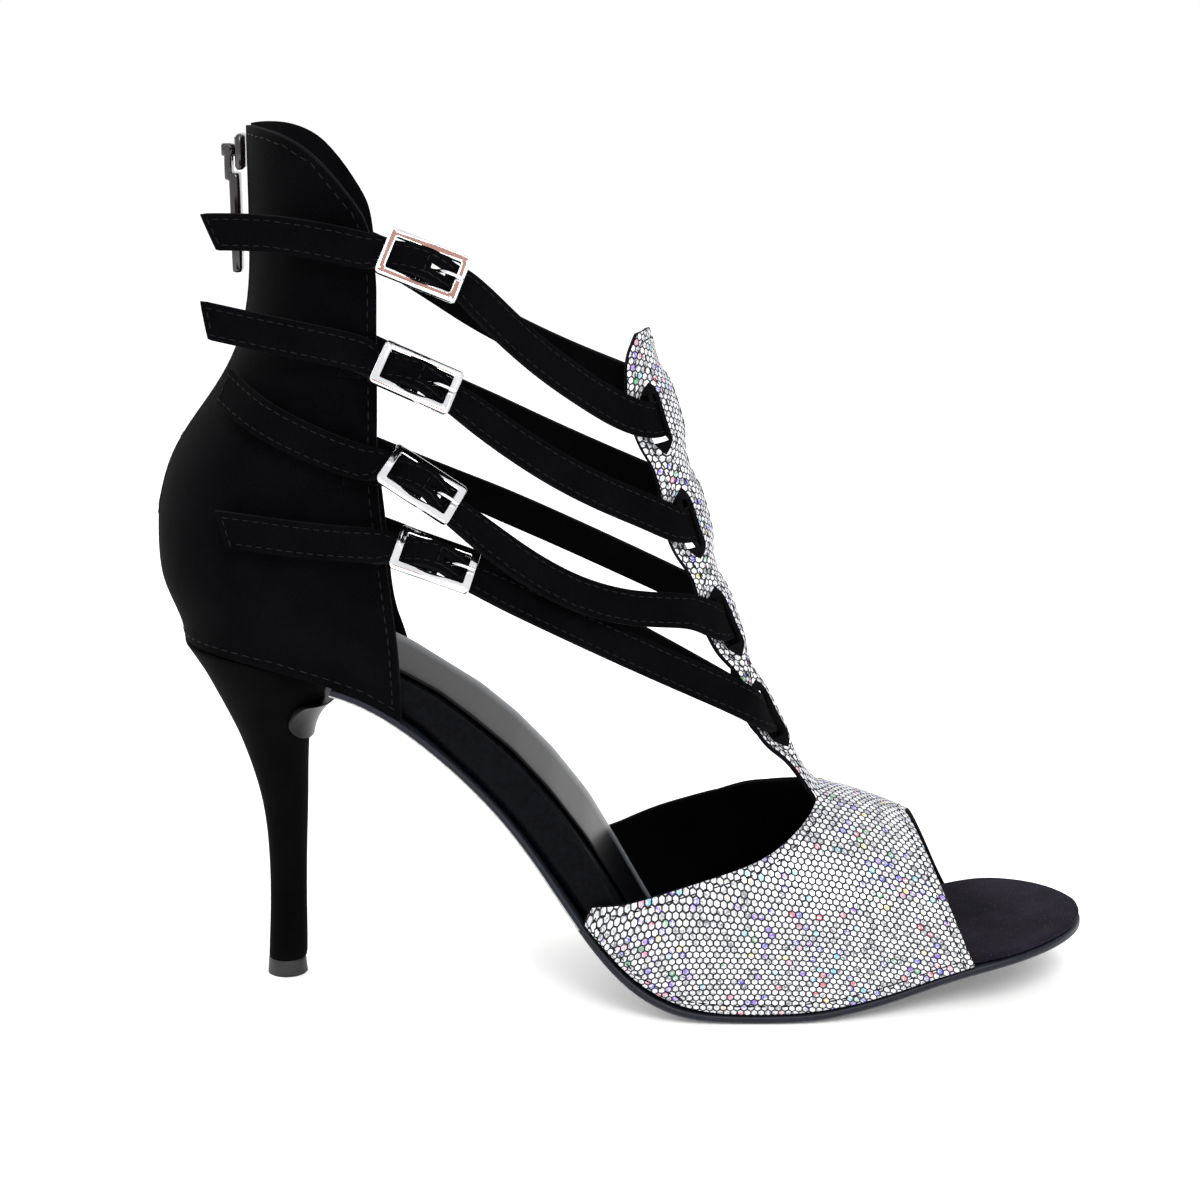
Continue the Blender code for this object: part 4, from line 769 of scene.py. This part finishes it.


# %% [markdown]
# The sock is coated leather, black in its middle. Along the inner side it curves up, and there
# its glossy coat gets a light grey painted reflection of the bright studio. Which part is which is
# stored as a vertex colour on a finer copy. It is seen at a flat angle, so its polish is kept low,
# or the white studio would wash out the black.

# %% Sock
SOCK_STEP = 5 * MM
SOCK_SEEN = 2 * MM
# Where across the sock the painted grey reflection begins, and over how much of its width it blends in.
REFLECTION_START = 0.5
REFLECTION_BLEND = 0.3


def sock_material():
    """Coated leather with fine pores: a painted grey reflection where its zone is 1, black where it is 0."""
    made, shader, tree = new_material("coated sock leather with painted reflection")
    zone = add(tree, "Attribute", {"attribute_name": "zone"}).outputs["Color"]
    parts = add(tree, "SeparateColor", links={"Color": zone})
    place = add(tree, "TexCoord").outputs["Object"]
    grain = add(tree, "TexNoise", {"Scale": 1 / (1.2 * MM), "Detail": 4.0}, {"Vector": place}).outputs["Fac"]
    pores = add(tree, "TexVoronoi", {"Scale": 1 / (0.8 * MM)}, {"Vector": place}).outputs["Distance"]
    dark = add(tree, "ValToRGB", links={"Fac": grain})
    dark.color_ramp.elements[0].color = linear("#030305")
    dark.color_ramp.elements[1].color = linear("#0c0c10")
    # Light grey: the painted reflection of the bright studio on the glossy coat.
    painted_reflection_ramp = add(tree, "ValToRGB", links={"Fac": grain})
    painted_reflection_ramp.color_ramp.elements[0].color = linear("#6c6f75")
    painted_reflection_ramp.color_ramp.elements[1].color = linear("#989ba0")
    mix = add(tree, "Mix", {"data_type": "RGBA"},
              {"Factor": parts.outputs["Red"], 6: dark.outputs["Color"], 7: painted_reflection_ramp.outputs["Color"]})
    tree.links.new(mix.outputs[2], shader.inputs["Base Color"])
    shader.inputs["Roughness"].default_value = 0.34
    shader.inputs["Specular IOR Level"].default_value = 0.09
    bump = add(tree, "Bump", {"Strength": 0.25, "Distance": 0.03 * MM}, {"Height": pores})
    tree.links.new(bump.outputs["Normal"], shader.inputs["Normal"])
    return made


def sock_reflection_share(point, far):
    """1 where the painted grey reflection lies along the sock's inner side, 0 on its dark middle."""
    edge = far[round(point.x / SOCK_STEP)]
    share = (point.y - SOCK_SEEN) / (edge - SOCK_SEEN)
    return min(1.0, max(0.0, (share - REFLECTION_START) / REFLECTION_BLEND))


bm = welded("sock_liner")
bmesh.ops.subdivide_edges(bm, edges=bm.edges, cuts=3, use_grid_fill=True)
zone = bm.verts.layers.float_color.new("zone")
far_edge = {}
for vert in bm.verts:
    step = round(vert.co.x / SOCK_STEP)
    far_edge[step] = max(far_edge.get(step, 0.0), vert.co.y)
print("sock's inner edge in mm:", [round(far_edge[step] / MM) for step in sorted(far_edge)])
for vert in bm.verts:
    value = sock_reflection_share(vert.co, far_edge)
    vert[zone] = (value, value, value, 1)
finished("sock_skin", bm, [sock_material()], levels=1, replaces=["sock_liner"])


# %% [markdown]
# A buckle lies askew on its strap, so its own axes are found first. The way in which its
# points spread most is its length, and the next is its width. Turning any start vector by
# the points' spread again and again brings it onto the longest way.

# %% Axes of a buckle
TURNS = 60


def longest_way(spread, start):
    """The way in which a cloud of points spreads most."""
    way = start.normalized()
    for turn in range(TURNS):
        way = (spread @ way).normalized()
    return way


def own_axes(node):
    """Middle and axes of a flat CAD piece: heelwards, up its width, outwards."""
    points = [nodes[node].matrix_world @ v.co for v in nodes[node].data.vertices]
    middle = sum(points, Vector()) / len(points)
    spread = Matrix(((0, 0, 0), (0, 0, 0), (0, 0, 0)))
    for point in points:
        away = point - middle
        spread += Matrix([[away[i] * away[j] for j in range(3)] for i in range(3)])
    longest = longest_way(spread, Vector((-1, 0, 0.4)))
    strength = (spread @ longest).length
    taken = Matrix([[longest[i] * longest[j] * strength for j in range(3)] for i in range(3)])
    width = longest_way(spread - taken, Vector((0.2, -0.3, 0.9)))
    if longest.x > 0:
        longest.negate()
    out = longest.cross(width).normalized()
    if out.y > 0:
        out.negate()
    width = out.cross(longest)
    if width.z < 0:
        width.negate()
        out = longest.cross(width)
    if out.y > 0:
        out.negate()
    reach = []
    for axis in (longest, width, out):
        values = [(p - middle).dot(axis) for p in points]
        reach.append((min(values), max(values)))
    return middle, (longest, width, out), reach


for axis in own_axes("buckle_1")[1]:
    print("a way of the top buckle:", [round(value, 2) for value in axis])


# %% [markdown]
# A buckle is die-cast, chromed and polished: a flat rectangular frame with rounded corners
# and edges, and a centre bar. It starts as a block whose two faces are inset and bridged
# into a window. The corners are rounded first, then every rim, as a polishing wheel does.

# %% Buckles
FRAME_BAR = 2.0 * MM
FRAME_THICKNESS = 1.4 * MM
FRAME_CORNER = 1.1 * MM
WINDOW_CORNER = 0.35 * MM
FRAME_ROUND = 0.38 * MM
CENTRE_BAR_RADIUS = 0.6 * MM
CENTRE_BAR_DROP = 0.9 * MM


def upright_edges(bm):
    """The edges that run through the frame's thickness."""
    return [e for e in bm.edges if abs(e.verts[0].co.z - e.verts[1].co.z) > FRAME_THICKNESS * 0.5]


def buckle_frame(node, name):
    """A rectangular frame with a window and a centre bar, in the place of a CAD buckle."""
    middle, (longest, width, out), reach = own_axes(node)
    length = reach[0][1] - reach[0][0]
    high = reach[1][1] - reach[1][0]
    top = reach[2][1]
    centre = middle + longest * sum(reach[0]) / 2 + width * sum(reach[1]) / 2
    centre += out * (top - FRAME_THICKNESS / 2)
    bm = bmesh.new()
    bmesh.ops.create_cube(bm, size=1)
    bmesh.ops.scale(bm, verts=bm.verts, vec=(length, high, FRAME_THICKNESS))
    flat = [f for f in bm.faces if abs(f.normal.z) > 0.9]
    bmesh.ops.inset_individual(bm, faces=flat, thickness=FRAME_BAR, use_even_offset=True)
    windows = [f for f in bm.faces if abs(f.normal.z) > 0.9
               and all(abs(v.co.x) < length / 2 - FRAME_BAR * 0.5 for v in f.verts)]
    rims = [e for f in windows for e in f.edges]
    bmesh.ops.delete(bm, geom=windows, context="FACES_ONLY")
    bmesh.ops.bridge_loops(bm, edges=rims)
    outer = [e for e in upright_edges(bm) if abs(e.verts[0].co.x) > length / 2 - 0.1 * MM]
    bmesh.ops.bevel(bm, geom=outer, offset=FRAME_CORNER, segments=4, profile=0.5, affect="EDGES",
                    material=-1)
    inner = [e for e in upright_edges(bm)
             if abs(abs(e.verts[0].co.x) - (length / 2 - FRAME_BAR)) < 0.05 * MM
             and abs(abs(e.verts[0].co.y) - (high / 2 - FRAME_BAR)) < 0.05 * MM]
    bmesh.ops.bevel(bm, geom=inner, offset=WINDOW_CORNER, segments=2, profile=0.5, affect="EDGES",
                    material=-1)
    rims = [e for e in bm.edges if len(e.link_faces) == 2 and e.calc_face_angle() > math.radians(60)]
    bmesh.ops.bevel(bm, geom=rims, offset=FRAME_ROUND, segments=3, profile=0.5, affect="EDGES", material=-1,
                    clamp_overlap=True)
    turn = Matrix.Rotation(math.pi / 2, 4, "X")
    drop = Matrix.Translation((0, 0, -CENTRE_BAR_DROP))
    bmesh.ops.create_cone(bm, cap_ends=True, segments=16, radius1=CENTRE_BAR_RADIUS,
                          radius2=CENTRE_BAR_RADIUS, depth=high - FRAME_BAR, matrix=drop @ turn)
    place = Matrix((longest, width, out)).transposed().to_4x4()
    bm.transform(Matrix.Translation(centre) @ place)
    bmesh.ops.recalc_face_normals(bm, faces=bm.faces)
    return finished(name, bm, [chrome], replaces=[node])


for number in range(1, 5):
    buckle_frame("buckle_%d" % number, "buckle_%d_plated" % number)
    solid_piece("prong_%d_plated" % number, "prong_%d" % number, [chrome], soft=0.0)


# %% [markdown]
# The zip at the back is a moulded coil on two woven tapes. The coil's turns are small
# capsules, set in pairs along the chain. The slider and its pull are enamelled metal. The
# pull is the one piece that moves, so it rides on its own body.

# %% Zip
COIL_WIRE = 0.42 * MM
COIL_REACH = 2.3 * MM
COIL_PITCH = 0.95 * MM
COIL_SIDE = 1.15 * MM
COIL_SINK = 0.35 * MM
COIL_LEAN = 0.18


def zip_spine():
    """The hindmost line down the middle of the zip's chain, with a place each millimetre."""
    chain = welded("zip_chain")
    spine = {}
    for vert in chain.verts:
        level = round(vert.co.z / MM)
        if abs(vert.co.y) < 0.8 * MM and (level not in spine or vert.co.x < spine[level].x):
            spine[level] = vert.co.copy()
    chain.free()
    return [Vector((spine[level].x + COIL_SINK, 0, spine[level].z)) for level in sorted(spine)]


def coil_piece():
    """Both sides' turns of the coil, leaning against each other."""
    tooth = capsule(COIL_WIRE, COIL_REACH)
    bm = bmesh.new()
    for spot, forward in even_steps(zip_spine(), COIL_PITCH, closed=False):
        out = Vector((-forward.z, 0, forward.x)).normalized()
        for side in (-1, 1):
            way = Vector((0, side, 0)) + forward * COIL_LEAN
            placed(bm, tooth, spot + Vector((0, side * COIL_SIDE, 0)), way.normalized(), out)
    return finished("zip_coil", bm, [coil])


def pull_piece():
    """The pull tab, which rides on its own body."""
    bm = welded("zip_pull")
    crease(bm, 25, 0.7)
    return finished("zip_pull_enamelled", bm, [enamel], body="zip_pull", levels=1,
                    replaces=["zip_pull"])


solid_piece("zip_tape_woven", "zip_tape", [tape])
coil_piece()
solid_piece("zip_chain_woven", "zip_chain", [tape], soft=0.9)
solid_piece("zip_slider_enamelled", "zip_slider", [enamel], levels=1, soft=0.7, angle=25)
pull_piece()


# %% [markdown]
# Now the stitches. They need the smooth surfaces, so they come after all the skins. A strap
# is sewn with a thinner thread and shorter stitches than the vamp and the counter.

# %% Stitches
STRAP_PITCH = 2.4 * MM
STRAP_STITCH = 1.8 * MM
STRAP_THREAD = 0.16 * MM

stitch_rows("vamp_stitches", vamp, vamp_paths)
stitch_rows("counter_stitches", counter, counter_paths)
for number, (strap, paths) in enumerate(zip(straps, strap_paths), 1):
    stitch_rows("strap_%d_stitches" % number, strap, paths, pitch=STRAP_PITCH,
                length=STRAP_STITCH, radius=STRAP_THREAD)


# %% [markdown]
# The photograph was lit flat and bright on white: the floor melts into the background and
# only a faint shadow lies under the sole. So the floor is white paper that glows a little,
# and the world around it is white too.

# %% Floor and world
def staged_sheet(name, size, material):
    """A flat square that belongs to the studio, not to the shoe."""
    bm = bmesh.new()
    bmesh.ops.create_grid(bm, x_segments=1, y_segments=1, size=size)
    mesh = bpy.data.meshes.new(name)
    bm.to_mesh(mesh)
    bm.free()
    mesh.materials.append(material)
    sheet = bpy.data.objects.new(name, mesh)
    bpy.context.scene.collection.objects.link(sheet)
    return sheet


def plain_paper(name, colour):
    """Matt paper of one colour; gives the material and its shader."""
    made, shader, tree = new_material(name)
    shader.inputs["Base Color"].default_value = linear(colour)
    shader.inputs["Roughness"].default_value = 0.9
    return made, shader


paper, paper_shader = plain_paper("white studio paper", "#fdfdfc")
paper_shader.inputs["Emission Color"].default_value = linear("#ffffff")
paper_shader.inputs["Emission Strength"].default_value = 0.12
staged_sheet("floor", 3, paper)

world = bpy.data.worlds.new("white studio")
bpy.context.scene.world = world
world.use_nodes = True
world.node_tree.nodes["Background"].inputs["Color"].default_value = (1, 1, 1, 1)
world.node_tree.nodes["Background"].inputs["Strength"].default_value = 1.0
print("floor and world ready")


# %% [markdown]
# A large soft light stands above and in front, and a weaker one behind. In the photograph
# the top buckle mirrors something warm, so a brown card stands where its face sends the
# camera's view: along the line of sight, mirrored in the face. The camera doesn't see it.

# %% Lights and card
CARD_AWAY = 500 * MM
CARD_HALF = 70 * MM


def soft_light(name, place, target, size, power):
    """A square soft light aimed at a point."""
    data = bpy.data.lights.new(name, "AREA")
    data.shape = "SQUARE"
    data.size = size
    data.energy = power
    light = bpy.data.objects.new(name, data)
    light.location = place
    way = Vector(target) - Vector(place)
    light.rotation_euler = way.to_track_quat("-Z", "Y").to_euler()
    bpy.context.scene.collection.objects.link(light)
    return light


soft_light("key light", (0.35, -0.75, 0.85), (0.08, 0, 0.08), 0.6, 9)
soft_light("rim light", (-0.5, 0.35, 0.6), (0.05, 0, 0.12), 0.5, 4)

face_middle, (face_length, face_width, face_out), face_reach = own_axes("buckle_1")
sight = (face_middle - camera.location).normalized()
mirrored = sight - 2 * sight.dot(face_out) * face_out
card, card_shader = plain_paper("warm brown studio card", "#a5776a")
board = staged_sheet("warm_board", CARD_HALF, card)
board.location = face_middle + mirrored * CARD_AWAY
board.rotation_euler = (-mirrored).to_track_quat("Z", "Y").to_euler()
board.visible_camera = False
print("warm card in mm:", [round(value / MM) for value in board.location])


# %% [markdown]
# Last, the colours are shown as they are, without a film's curve. Its box may be no more
# than a little larger than the solids' box.

# %% Colours as they are
bpy.context.scene.view_settings.view_transform = "Standard"
